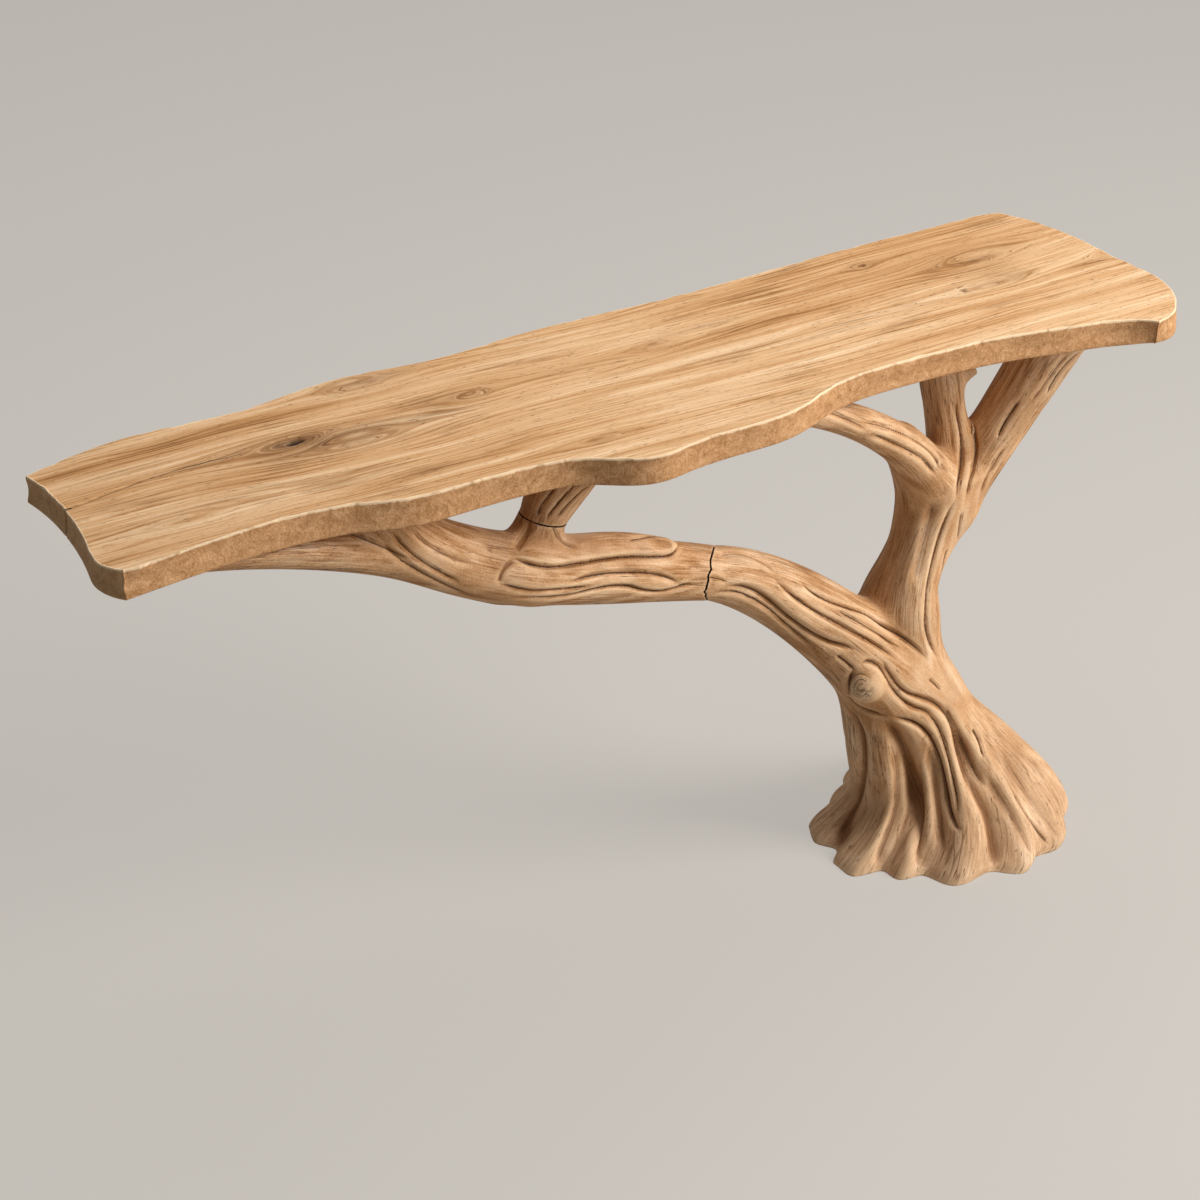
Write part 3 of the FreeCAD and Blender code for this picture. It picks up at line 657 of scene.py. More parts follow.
# lines that wander round a limb along its length
def wanderingCuts(name, count, depth):
    line, radius = limbLine(name)
    ways, across, over = lineFrame(line)
    share = np.linspace(0, 1, len(line))
    turn = unseen["turn"]
    for k in range(count):
        angle = 2 * np.pi * (k + chance.uniform(0, turn)) / count + chance.uniform(-turn, turn) * share
        swings = share * chance.uniform(0.8, 2.2) + chance.uniform()
        angle = angle + unseen["swing"] * np.sin(2 * np.pi * swings)
        start = chance.uniform(0, unseen["start"])
        end = chance.uniform(unseen["end"], 1)
        path = line + radius[:, None] * (np.cos(angle)[:, None] * across + np.sin(angle)[:, None] * over)
        path = easedLine(path[(share >= start) & (share <= end)], cutStep)
        deep = depth * chance.uniform(0.5, 1.1) * mm
        wide = unseen["wide"] * chance.uniform(0.8, 1.3) * mm
        yield path, deep, wide, unseen["dark"]


# the root's unseen folds: up each hollow of the sole from the floor
def rootFolds():
    deep, wide = unseen["foldDeep"] * mm, unseen["foldWide"] * mm
    least, further = unseen["foldHigh"]
    for degrees, _ in root["hollows"]:
        heights = np.linspace(2, least + further * chance.uniform(), 40) * mm
        angle = math.radians(degrees) + unseen["foldLean"] * chance.uniform(-1, 1) * heights
        yield easedLine(flarePlaces(heights, angle), cutStep), deep, wide, unseen["foldDark"]


# how far past the jagged seam each point is: its place along the seam's way, less the jag at its height
def pastSeam(points):
    middle = np.array(seam["middle"]) * mm
    poles = np.array(limbs["stub"]["poles"], float)
    way = poles[3] - poles[2]
    forward = unit(np.array([way[0], 0, way[2]]))
    upward = np.array([-forward[2], 0, forward[0]]) * np.sign(forward[0])
    skew = math.radians(seam["skew"])
    deep = (points[:, 1] - middle[1]) / math.cos(skew)
    flat = points - middle - deep[:, None] * np.array([math.sin(skew), math.cos(skew), 0])
    jags = np.array(seam["jags"], float) * mm
    return flat @ forward - np.interp(flat @ upward, jags[:, 0], jags[:, 1]), forward


def pastRing(points):
    lean = math.radians(ringSeam["tilt"])
    way = np.array([math.sin(lean), 0, math.cos(lean)])
    return (points - np.array(ringSeam["middle"]) * mm) @ way, way


# what a cut and a seam do to the skin, in mm: how far beside a cut the grain turns and its cleft gets painted
# shade, the most that cuts raise and sink it; what is past a seam shrinks over a run and closes it, with a
# gap that only its lip has and whose walls get painted shade; and between which values the marks for the
# timber go from none to full
dress = {"turnReach": 9, "darkReach": 4.5, "mostRaised": 6, "mostSunk": 18,
         "closeRun": 60, "closeMost": 0.9, "overlap": 0.6, "lip": (3.5, 0.5), "inGap": 0.4,
         "turnedAway": (-0.3, 0.15), "clear": (0.1, 0.7), "beside": (0.25, 0.8),
         "hollow": 0.22, "valleyShade": 2.2, "cutShade": 1.2, "seamShade": 0.95, "turnShare": 3,
         "streakRounds": 120, "streakSharp": 4}


# carves a grown skin, closes it at its seams and writes what its timber's nodes read, among it the painted
# shade in its clefts, seam gaps, hollows and valleys
def dressSkin(skin, names, blend, kept, cuts, hidden, closers):
    points = readPoints(skin)
    edges = readEdges(skin)
    normals = readNormals(skin)
    count = len(points)
    tree = BVHTree.FromPolygons(points.tolist(), [tuple(p.vertices) for p in skin.polygons])
    _, _, part, reaches = grownTogether(points, names, blend)
    ways = sum(p[:, None] * r[2] for p, r in zip(part, reaches))
    away = ease(-(normals * unit(eye - points)).sum(1), *dress["turnedAway"])[:kept]
    work = [(cutLine(tree, pixels), depth * mm, width * mm, dark, lift * mm, 1 - away)
            for depth, width, dark, lift, pixels in cuts.values()]
    work += [(line, depth, width, dark, 0, away) for line, depth, width, dark in hidden]
    sunk, shadedCleft, beside = np.zeros((3, count))
    fold, pull = np.zeros((2, count, 3))
    for number, (line, depth, width, dark, lift, share) in enumerate(work):
        if len(line) < 4:  # too little of it met the piece
            continue
        near, low, fade, place, apart, aim = carve(points[:kept], line, depth, width, dark, lift)
        sunk[near] += low * share[near]
        close = share[near] * fade * np.exp(-(apart / (dress["turnReach"] * mm)) ** 2)
        pull[near] += close[:, None] * aim * np.sign((aim * ways[near]).sum(1))[:, None]
        pick = close > beside[near]
        nearer = near[pick]
        row = np.full(len(nearer), number * apartStep)
        fold[nearer] = np.stack([place[pick] * cutStep, apart[pick], row], axis=1)
        beside[nearer] = close[pick]
        # painted shade along the cut: dark on its line, fading away from it
        shade = dress["cutShade"] * dark * np.exp(-(apart / (dress["darkReach"] * mm)) ** 2)
        shadedCleft[nearer] = np.minimum(shade * fade * share[near], 1)[pick]
    sunk = np.clip(sunk, -dress["mostRaised"] * mm, dress["mostSunk"] * mm)
    points = points - normals * sunk[:, None]
    points[:kept, 2] = np.clip(points[:kept, 2], 0, cutHeight)
    overlap = dress["overlap"]
    for past, side, joint in closers:
        over, way = past(points)
        radial = points - np.array(joint["middle"]) * mm
        nearby = np.linalg.norm(radial, axis=1) < joint["reach"] * mm
        radial = radial - (radial @ way)[:, None] * way
        inward = np.clip(side * over / (dress["closeRun"] * mm), 0, dress["closeMost"]) * nearby
        points -= inward[:, None] * radial
        over, way = past(points)
        flat = np.linalg.norm(radial, axis=1) * (1 - inward)
        lip = ease(flat, *((joint["rim"] - step) * mm for step in dress["lip"]))
        gap = (joint["gap"] + overlap) * lip - overlap
        extra = np.maximum(side * over + gap / 2 * mm, 0) * nearby
        points -= side * extra[:, None] * way
        # the seam's gap gets painted shade on its walls
        inGap = extra > dress["inGap"] * mm
        shadedCleft[inGap] = dress["seamShade"]
        fold[inGap, 1] = 0
    writePoints(skin, points)
    normals = readNormals(skin)
    ways = unit(ways) + dress["turnShare"] * pull
    ways = unit(ways - normals * (ways * normals).sum(1, keepdims=True))
    best = part.argmax(0)
    grain = np.stack([r[3] for r in reaches])[best, np.arange(count)]
    order = np.sort(part, axis=0)
    clear = order[-1] - (order[-2] if len(names) > 1 else 0)
    # how far the skin sinks below its neighbours, near and over a wider reach: where painted shade goes in
    # hollows and valleys, and a painted highlight on ridges
    hollow = ((evened(points, edges, 1.0, 1) - points) * normals).sum(1) / mm
    valleyShade = ((evened(points, edges, 0.9, 24) - points) * normals).sum(1) / mm
    cloud = evened(chance.normal(size=count), edges, 0.8, 3)
    written = {
        "grain": np.column_stack([grain, best * apartStep]), "clear": ease(clear, *dress["clear"]),
        "shadedCleft": shadedCleft, "fold": fold, "beside": ease(beside, *dress["beside"]),
        "hollow": np.clip(evened(hollow, edges, 0.6, 3) / dress["hollow"], -1, 1),
        "valleyShade": np.clip(evened(valleyShade, edges, 0.6, 4) / dress["valleyShade"], -1, 1),
        "streak": drawnOut(cloud, points, edges, ways, dress["streakRounds"], dress["streakSharp"]),
    }
    for name, values in written.items():
        writeMark(skin, name, values)


# weathered hardwood, peeled, brushed and left matte: tan lines along the grain, pale ridges that are partly
# rubbed wear and partly painted highlight, painted shade in clefts, seam gaps, hollows and valleys, and pale
# dust low on the root; the lines are drawn about twice as coarse as real grain, so that they show
timber = {
    "tones": ((0.0, "#85552C"), (0.3, "#AC7B4C"), (0.55, "#C7976A"), (0.8, "#DAB188"), (1.0, "#E9C7A2")),
    # the colours of clefts and hollows are painted shade; that of ridges is a painted highlight that in part
    # stands for rubbed wear
    "shadedCleft": "#2A1508", "hollow": "#77491F", "ridgeHighlightAndWear": "#EDCBA2", "pore": "#4F2E16", "vein": "#6E4521",
    "grey": "#B99C80", "dust": "#E0C3A4", "dustHeight": 240, "dustShare": 0.28,
    # layers of lines: length and width in mm, finer detail, and what stands where the grain isn't clear
    "layers": (("fine", 90, 2.2, 4.0, 0.5), ("vein", 170, 13, 2.0, 0.62), ("pore", 15, 1.8, 1.0, 0.5)),
    "blotch": 80, "dustPatch": 55, "speck": 2.4, "darkRun": 20, "rough": (0.8, 0.6), "relief": 0.36,
}


def timberMaterial(name, shift):
    material, tree, shader = newMaterial(name)
    mark = {n: addNode(tree, "Attribute", attribute_name=n).outputs["Vector"] for n in ("grain", "fold")}
    for n in ("clear", "shadedCleft", "hollow", "valleyShade", "streak", "beside"):
        mark[n] = addNode(tree, "Attribute", attribute_name=n).outputs["Fac"]
    place = addNode(tree, "TexCoord").outputs["Object"]
    layers = {}
    for layer, long, wide, detail, unclear in timber["layers"]:
        drawn = {}
        size = (1 / (long * mm), 1 / (wide * mm), 1)
        for way in ("grain", "fold"):
            spread = addNode(tree, "Mapping", {"Vector": mark[way], "Scale": size,
                                               "Location": (shift, shift, 0)})
            drawn[way] = addNode(tree, "TexNoise", {"Vector": spread, "Scale": 1.0, "Detail": detail,
                                                    "Roughness": 0.65})
        plain = addNode(tree, "Mix", {0: mark["clear"], 2: unclear, 3: drawn["grain"]})
        layers[layer] = addNode(tree, "Mix", {0: mark["beside"], 2: plain, 3: drawn["fold"]})
    blotch, dust, speck = (
        addNode(tree, "TexNoise", {"Vector": place, "Scale": 1 / (timber[size] * mm), "Detail": detail})
        for size, detail in (("blotch", 3.0), ("dustPatch", 4.0), ("speck", 3.0)))
    level = addNode(tree, "Math", {0: layers["fine"], 1: 1.7, 2: -0.3}, operation="MULTIPLY_ADD")
    for cloud, weight in ((mark["streak"], 0.5), (blotch, 0.8), (speck, 0.6)):
        part = addNode(tree, "Math", {0: cloud, 1: 0.5}, operation="SUBTRACT")
        level = addNode(tree, "Math", {0: part, 1: weight, 2: level}, operation="MULTIPLY_ADD")
    # veins: thin lines where the wide noise passes its middle, broken by the dust's patches; they fade
    # where one limb's grain turns into another's, and where it turns into a fold's
    middle = addNode(tree, "Math", {0: layers["vein"], 1: 0.5}, operation="SUBTRACT")
    middle = addNode(tree, "Math", {0: middle}, operation="ABSOLUTE")
    settled = addNode(tree, "Math", {0: mark["beside"], 1: 2.0, 2: -1.0}, operation="MULTIPLY_ADD")
    settled = addNode(tree, "Math", {0: settled}, operation="ABSOLUTE")
    vein = 1.0
    for follows, start, end, least, most in (
            (middle, 0.004, 0.03, 1.0, 0.0), (dust, 0.42, 0.58, 0.05, 0.6),
            (mark["clear"], 0.75, 1.0, 0.0, 1.0), (settled, 0.75, 1.0, 0.0, 1.0)):
        share = addNode(tree, "MapRange", {"Value": follows, "From Min": start, "From Max": end,
                                           "To Min": least, "To Max": most})
        vein = addNode(tree, "Math", {0: share, 1: vein}, operation="MULTIPLY")
    # the painted shade in each cleft: a dark line near the line itself, wider and narrower along its run
    run = addNode(tree, "Mapping", {"Vector": mark["fold"], "Scale": (1 / (timber["darkRun"] * mm), 0, 1)})
    run = addNode(tree, "TexNoise", {"Vector": run, "Scale": 1.0, "Detail": 2.0})
    wide = addNode(tree, "MapRange", {"Value": run, "From Min": 0.35, "From Max": 0.65,
                                      "To Min": 0.9 * mm, "To Max": 2.2 * mm})
    apart = addNode(tree, "SeparateXYZ", {0: mark["fold"]}).outputs["Y"]
    apart = addNode(tree, "Math", {0: apart}, operation="ABSOLUTE")
    dark = addNode(tree, "MapRange", {"Value": apart, "From Min": 0.4 * mm, "From Max": wide,
                                      "To Min": 1.0, "To Max": 0.0})
    dark = addNode(tree, "Math", {0: dark, 1: mark["shadedCleft"]}, operation="MULTIPLY")
    # what lies over the tones: its colour, what it follows and from where to where, and its most
    height = addNode(tree, "SeparateXYZ", {0: place}).outputs["Z"]
    laid = []
    for coat, follows, start, end, most in (
            ("grey", dust, 0.52, 0.72, 0.35),
            ("dust", height, timber["dustHeight"] * mm, 0.0, timber["dustShare"]),
            # painted shade in valleys and hollows, and a pale coat on ridges that is painted highlight and in
            # part rubbed wear
            ("hollow", mark["valleyShade"], 0.05, 0.9, 0.55), ("ridgeHighlightAndWear", mark["hollow"], -0.05, -0.7, 0.5),
            ("hollow", mark["hollow"], 0.05, 0.8, 0.5), ("pore", layers["pore"], 0.66, 0.71, 0.7)):
        share = addNode(tree, "MapRange", {"Value": follows, "From Min": start, "From Max": end,
                                           "To Max": most})
        laid.append((coat, share))
    pit = laid[-1][1]
    laid[-1:] = [("vein", vein), ("pore", pit), ("shadedCleft", dark)]
    color = addNode(tree, "ValToRGB", {"Fac": level}, stops=timber["tones"])
    for coat, share in laid:
        paint = hexColor(timber[coat])
        color = addNode(tree, "Mix", {0: share, 6: color, 7: paint}, data_type="RGBA").outputs[2]
    rise = addNode(tree, "Math", {0: speck, 1: 0.5, 2: layers["fine"]}, operation="MULTIPLY_ADD")
    for dent, lift in ((pit, -1.0), (vein, -0.8), (dark, -2.0)):
        rise = addNode(tree, "Math", {0: dent, 1: lift, 2: rise}, operation="MULTIPLY_ADD")
    bump = addNode(tree, "Bump", {"Height": rise, "Strength": 0.9, "Distance": timber["relief"] * mm})
    dull, worn = timber["rough"]
    rough = addNode(tree, "MapRange", {"Value": level, "To Min": dull, "To Max": worn})
    feed(shader, {"Base Color": color, "Normal": bump, "Roughness": rough, "IOR": 1.5,
                  "Specular IOR Level": 0.25})
    return material


# the grown pieces: what they grow from, how fine in mm and how softly it joins, their cuts, how many unseen
# cuts go round which limb and how deep, their seams and on which side of each they are, and the shift of
# their timber
woodPieces = {
    "trunkWood": {"parts": ("root", "stub", "buttress", "arch", "middle", "right", "web", "spur", "knob"),
                  "voxel": 2.25, "blend": 8, "cuts": trunkCuts, "hiddenDeep": 4, "most": 194000,
                  "hidden": (("stub", 9), ("buttress", 6), ("arch", 6), ("middle", 6), ("right", 7)),
                  "seams": ((pastSeam, 1, seam),), "timber": ("brushed trunk wood", 3.0),
                  "slot": "trunk_wood", "node": "trunk"},
    "leftLimbWood": {"parts": ("limb", "tip", "ringStub", "tongue"),
                     "voxel": 1.9, "blend": 8, "cuts": limbCuts, "hiddenDeep": 4,
                     "hidden": (("limb", 8), ("tip", 4), ("ringStub", 5)),
                     "seams": ((pastSeam, -1, seam), (pastRing, 1, ringSeam)),
                     "timber": ("brushed limb wood", 11.0), "slot": "limb_wood", "node": "left_limb"},
    "riserWood": {"parts": ("riser",), "voxel": 2.0, "blend": 4, "cuts": riserCuts, "hiddenDeep": 3,
                  "hidden": (("riser", 7),), "seams": ((pastRing, -1, ringSeam),),
                  "timber": ("brushed riser wood", 17.0), "slot": "limb_wood", "node": "riser_branch"},
}
for name, wood in woodPieces.items():
    parts = wood["parts"]
    blend = wood["blend"] * mm
    stands = "root" in parts
    tubes = [rootTube() if n == "root" else limbTube(n) for n in parts if n != "knob"]
    skin = grownSkin(name, tubes, parts, wood["voxel"] * mm, blend)
    cutLevel(skin, stands)
    kept = closeSole(skin, root["well"]) if stands else len(skin.vertices)
    hidden = list(rootFolds()) if stands else []
    for limb, count in wood["hidden"]:
        hidden += wanderingCuts(limb, count, wood["hiddenDeep"])
    dressSkin(skin, parts, blend, kept, wood["cuts"], hidden, wood["seams"])
    if "most" in wood:
        skin = thinned(skin, wood["most"])
    newPiece(name, skin, timberMaterial(*wood["timber"]), wood["slot"], wood["node"])


# the plank: the corners between its four edges, its eased arris, its live edge, its crack and its knots
plank = {
    "corners": ((-719, -128), (659, -189), (674, 180), (-725, 138)),
    "arris": 2.0, "lowArris": 2.0, "columns": 380, "rows": 86, "uneven": 0.25,
    "outlineParts": 2400, "headingParts": 4,
    # the live edge's waves: radians to the metre, shift from top to bottom, start and share of the wave's mm
    "waves": ((9.1, 4, 0, 1), (23.7, 9, 1.3, 0.7), (57, -6, 0.4, 0.5), (131, 14, 0, 0.35)),
    "wave": 1.4, "nick": 1.5,
    # where it leans out low: run from the left front corner, spread and mm
    "lean": (280, 200, 6),
    # where it draws in: the corner, mm, spread, and whether low or high on the edge
    "drawnIn": ((0, 5, 14, "high"), (1, 11, 24, "low")),
    "crackShare": 0.638, "crackDepth": 11, "crackWide": 2.0, "crackMouth": 7,
    "crackStart": -740, "crackEnd": -430, "crackLeast": 0.3, "crackTaper": 2.2,
    # the knot hole: its pixel, its half length, half width and depth, and the start and run of its columns
    "hole": (294, 442), "holeSize": (11, 5, 6), "holeColumns": (-719, 1385),
    # the slow bends of the grain: mm, and radians to the metre along and across, and start
    "bends": ((8, 4.3, 0, 0.6), (2, 11.7, 9, 0), (0.5, 37, 31, 0)),
    # round a knot: how hard and how softly it pushes the grain, how wide its heart and its shadow are, and
    # how dark it has to be for a heart
    "knotForm": {"push": 2.6, "soft": 1.5, "heart": 0.7, "shadow": 1.8, "ringed": 0.6},
    # pixel of each knot, its size in mm, how far the grain round it is drawn out, and how dark it is
    "knots": (((294, 442), 13, 3.2, 0.9), ((352, 384), 16, 2.6, 0.5), ((470, 394), 9, 2.4, 0.8),
              ((350, 441), 17, 3.4, 0.5), ((862, 266), 7, 2.0, 0.7), ((975, 258), 16, 3.0, 0.45),
              ((985, 284), 12, 4.0, 0.3), ((1120, 250), 10, 3.0, 0.3), ((655, 345), 8, 3.0, 0.2),
              ((180, 520), 9, 4.0, 0.2), ((600, 440), 7, 4.0, 0.15)),
    # darker places in the grain: pixel, half length and half depth in mm, how dark
    "smudges": (((335, 439), 100, 19, 0.75), ((425, 418), 60, 14, 0.45), ((250, 452), 70, 8, 0.55),
                ((470, 395), 30, 9, 0.65), ((362, 382), 60, 12, 0.6), ((850, 322), 46, 4, 0.45),
                ((838, 331), 66, 4, 0.4), ((1000, 305), 34, 4, 0.4), ((560, 372), 70, 5, 0.3),
                ((735, 352), 80, 5, 0.3), ((690, 330), 60, 4, 0.3), ((130, 470), 50, 6, 0.3),
                ((1090, 262), 40, 8, 0.35), ((940, 300), 90, 4, 0.3), ((440, 468), 60, 5, 0.25),
                ((225, 500), 70, 6, 0.3)),
}


# the plank's own outline from its CAD node: the edges that have one face of the top beside them, put in order
def plankOutline():
    body = bmesh.new()
    body.from_mesh(nodes["slab_top"].data)
    bmesh.ops.remove_doubles(body, verts=body.verts[:], dist=1e-5)
    highest = max(v.co.z for v in body.verts)
    top = {f for f in body.faces if f.normal.z > 0.9 and f.calc_center_median().z > highest - 1e-4}
    rim = [e for e in body.edges if sum(f in top for f in e.link_faces) == 1]
    beside = {}
    for edge in rim:
        a, b = edge.verts
        beside.setdefault(a, []).append(b)
        beside.setdefault(b, []).append(a)
    start = min(beside, key=lambda v: v.co.x)
    walk = [start, beside[start][0]]
    while walk[-1] is not start:
        one, two = beside[walk[-1]]
        walk.append(two if one is walk[-2] else one)
    line = np.array([v.co for v in walk[:-1]], float)
    lowest = min(v.co.z for v in body.verts)
    body.free()
    area = (line[:, 0] * np.roll(line[:, 1], -1) - np.roll(line[:, 0], -1) * line[:, 1]).sum()
    return (line if area > 0 else line[::-1])[:, :2], lowest, highest


# shares from 0 to 1: fine steps at both ends and about the given places, even steps between
def unevenShares(count, length, places):
    near = np.array([0.9, 2.2, 4.5, 8.5]) * mm / length
    fine = np.array([0, 0.6, 1.2, 1.8, 2.6, 4.2]) * mm / length
    clearOfPlace, clearOfEnd = 6 * mm / length, 12 * mm / length
    shares = [np.linspace(0, 1, count)[1:-1]]
    for share in places:
        shares[0] = shares[0][np.abs(shares[0] - share) > clearOfPlace]
        shares += [share - fine, share + fine[1:]]
    shares[0] = shares[0][(shares[0] > clearOfEnd) & (shares[0] < 1 - clearOfEnd)]
    return np.sort(np.concatenate([[0, 1], near, 1 - near] + shares))


outline, plankLow, plankHigh = plankOutline()
ring = np.vstack([outline, outline[:1]])
ringRun = np.concatenate([[0], np.cumsum(np.linalg.norm(np.diff(ring, axis=0), axis=1))])
whole = ringRun[-1]
evenRun = np.linspace(0, whole, plank["outlineParts"], endpoint=False)
evenLine = np.stack([np.interp(evenRun, ringRun, ring[:, k]) for k in (0, 1)], axis=1)
ahead = plank["headingParts"]
heading = unit(np.roll(evenLine, -ahead, axis=0) - np.roll(evenLine, ahead, axis=0))
evenOut = np.stack([heading[:, 1], -heading[:, 0]], axis=1)


# places on the outline by run, pulled in by an inset square to the edge
def onOutline(run, inset):
    run = run % whole
    line = np.stack([np.interp(run, evenRun, evenLine[:, k], period=whole) for k in (0, 1)], axis=1)
    out = unit(np.stack([np.interp(run, evenRun, evenOut[:, k], period=whole) for k in (0, 1)], axis=1))
    return line - out * inset[:, None]


cornerRuns = [evenRun[((evenLine - np.array(c) * mm) ** 2).sum(1).argmin()] for c in plank["corners"]]
spans = [(b - a) % whole for a, b in zip(cornerRuns, cornerRuns[1:] + cornerRuns[:1])]
holePlace = pixelsAtHeight([plank["hole"]], plankHigh)[0]
columnsFrom, columnsRun = plank["holeColumns"]
holeShare = (holePlace[0] - columnsFrom * mm) / (columnsRun * mm)
columnShares = unevenShares(plank["columns"], spans[0], [holeShare])
rowShares = unevenShares(plank["rows"], spans[3], [plank["crackShare"]])
columns, rows = len(columnShares), len(rowShares)
sideShares = (columnShares, rowShares, 1 - columnShares[::-1], 1 - rowShares[::-1])
loopRuns = np.concatenate([start + span * s[:-1] for start, span, s in zip(cornerRuns, spans, sideShares)])
around = len(loopRuns)
leftFrom = 2 * columns + rows - 3  # where the loop round the edge comes to the left end


# a level grid between four edges: front to back plus left to right, less the corners that both count
def betweenEdges(loop):
    a, b = columns - 1, columns + rows - 2
    front = loop[:a + 1]
    right = loop[a:b + 1]
    back = loop[b:leftFrom + 1][::-1]
    left = np.vstack([loop[leftFrom:], loop[:1]])[::-1]
    u = columnShares[:, None, None]
    v = rowShares[None, :, None]
    across = (1 - v) * front[:, None] + v * back[:, None]
    along = (1 - u) * left[None] + u * right[None]
    corners = (1 - u) * ((1 - v) * front[0] + v * back[0]) + u * ((1 - v) * front[-1] + v * back[-1])
    return across + along - corners


# the live edge: long and short waves along the run, stronger low on the edge, nicks on its arris, a low
# lean on the left, and corners that draw in; depth goes from 0 at the top to 1
def edgeInset(run, depth):
    wave = sum(high * np.sin(run * pitch + start + shift * depth)
               for pitch, shift, start, high in plank["waves"])
    inset = plank["wave"] * mm * (0.9 + 0.5 * wave) * np.sin(np.pi * np.clip(0.12 + depth, 0, 1)) ** 0.7
    # nicks, where two quick waves rise together
    nick = np.maximum(np.sin(run * 61 + 2.4 * np.sin(run * 17)) + 0.6 * np.sin(run * 149 + 1.1) - 0.3, 0)
    inset = inset + plank["nick"] * mm * nick * np.clip(1 - 5 * depth, 0, 1)
    place, spread, out = (value * mm for value in plank["lean"])
    fromLean = (run - cornerRuns[0]) % whole - place
    inset = inset - out * depth ** 1.5 * np.exp(-(fromLean / spread) ** 2)
    for corner, most, spread, level in plank["drawnIn"]:
        off = (run - cornerRuns[corner]) % whole
        off = np.minimum(off, whole - off)
        share = depth if level == "low" else 1 - depth
        inset = inset + most * mm * np.exp(-(off / (spread * mm)) ** 2) * share
    return inset


# the wall: the outline at each depth, rounded at both arrises, with the crack's mouth in the left end
thick = plankHigh - plankLow
arris, lowArris = plank["arris"] * mm, plank["lowArris"] * mm
crackShare, crackWide, crackEnd = plank["crackShare"], plank["crackWide"] * mm, plank["crackEnd"] * mm
bend = np.linspace(0, np.pi / 2, 4)
straight = np.linspace(arris, thick - lowArris, 12)[1:-1]
depths = np.concatenate([arris * (1 - np.cos(bend)), straight, thick - lowArris * (1 - np.sin(bend))])
insets = np.concatenate([arris * (1 - np.sin(bend)), 0 * straight, lowArris * (1 - np.cos(bend))])
crackRun = cornerRuns[3] + spans[3] * (1 - crackShare)
crackGap = np.abs((loopRuns - crackRun + whole / 2) % whole - whole / 2)
crackCut = np.exp(-(crackGap / crackWide) ** 4)
wall = []
for depth, inset in zip(depths, insets):
    low = depth / thick
    mouth = plank["crackMouth"] * mm * crackCut * (1 - 0.6 * low)
    place = onOutline(loopRuns, inset + edgeInset(loopRuns, low) + mouth)
    wall.append(np.column_stack([place, np.full(around, plankHigh - depth)]))
wall = np.stack(wall)

# the top, sunk at the crack and the knot hole and planed a little uneven, and the level underside
topX, topY = np.moveaxis(betweenEdges(wall[0][:, :2]), -1, 0)
lowX, lowY = np.moveaxis(betweenEdges(wall[-1][:, :2]), -1, 0)
reach = 1 - ease(topX, plank["crackStart"] * mm, crackEnd)
slitWide = crackWide * (plank["crackLeast"] + (1 - plank["crackLeast"]) * reach)
slit = np.exp(-(np.abs(rowShares - crackShare) * spans[3] / slitWide) ** 4)
sink = plank["crackDepth"] * mm * slit * reach ** plank["crackTaper"]
sink = sink * ease(crackEnd - topX, -4 * mm, 10 * mm)
holeX, holeY, holeDeep = (value * mm for value in plank["holeSize"])
hole = np.exp(-(((topX - holePlace[0]) / holeX) ** 2 + ((topY - holePlace[1]) / holeY) ** 2) ** 2)
uneven = plank["uneven"] * mm * (np.sin(topX * 31 + topY * 12) + np.sin(topX * 13 - topY * 47)) * (1 - slit)
topZ = np.minimum(plankHigh - sink - holeDeep * hole + uneven, plankHigh)
topPoints = np.dstack([topX, topY, topZ]).reshape(-1, 3)
lowPoints = np.dstack([lowX, lowY, np.full_like(lowX, plankLow)]).reshape(-1, 3)
first = columns * rows
topIndex = np.arange(first).reshape(columns, rows)
loopIndex = np.concatenate([topIndex[:-1, 0], topIndex[-1, :-1],
                            topIndex[::-1, -1][:-1], topIndex[0, ::-1][:-1]])
topPoints[loopIndex] = wall[0]
lowPoints[loopIndex] = wall[-1]
between = wall[1:-1].reshape(-1, 3)
lowFirst = first + len(between)
wallIndex = np.vstack([loopIndex, np.arange(first, lowFirst).reshape(-1, around), lowFirst + loopIndex])
topFaces = gridFaces(topIndex)
lowFaces = gridFaces(topIndex + lowFirst)[:, [0, 3, 2, 1]]
wallFaces = gridFaces(np.hstack([wallIndex, wallIndex[:, :1]]))
plankPoints = np.vstack([topPoints, between, lowPoints])
plankMesh = bpy.data.meshes.new("plank")
plankMesh.from_pydata(plankPoints, [], np.vstack([topFaces, wallFaces, lowFaces]))


# the grain's own coordinate: depth across the plank, pushed aside round each knot as water round a stone,
# and inside a knot the distance from its heart, so that its lines close into rings; also how dark knots and
# smudges make it
def grainAcross(points):
    x, y = points[:, 0], points[:, 1]
    across = y + sum(high * mm * np.sin(x * long + y * wide + start)
                     for high, long, wide, start in plank["bends"])
    knotty = np.zeros(len(points))
    form = plank["knotForm"]
    for pixel, size, stretch, dark in plank["knots"]:
        spot = pixelsAtHeight([pixel], plankHigh)[0]
        off = y - spot[1]
        square = ((x - spot[0]) / stretch) ** 2 + off ** 2
        edge = (size * mm) ** 2
        across = across - off * form["push"] * edge / (square + form["soft"] * edge)
        heart = np.exp(-(square / (form["heart"] * edge)) ** 2) * (dark > form["ringed"])
        across = across * (1 - heart) + heart * (spot[1] + np.sqrt(square))
        knotty = np.maximum(knotty, dark * np.exp(-square / (form["shadow"] * edge)))
    for pixel, half, deep, dark in plank["smudges"]:
        spot = pixelsAtHeight([pixel], plankHigh)[0]
        square = ((x - spot[0]) / (half * mm)) ** 2 + ((y - spot[1]) / (deep * mm)) ** 2
        knotty = np.maximum(knotty, dark * np.exp(-square))
    return across, knotty


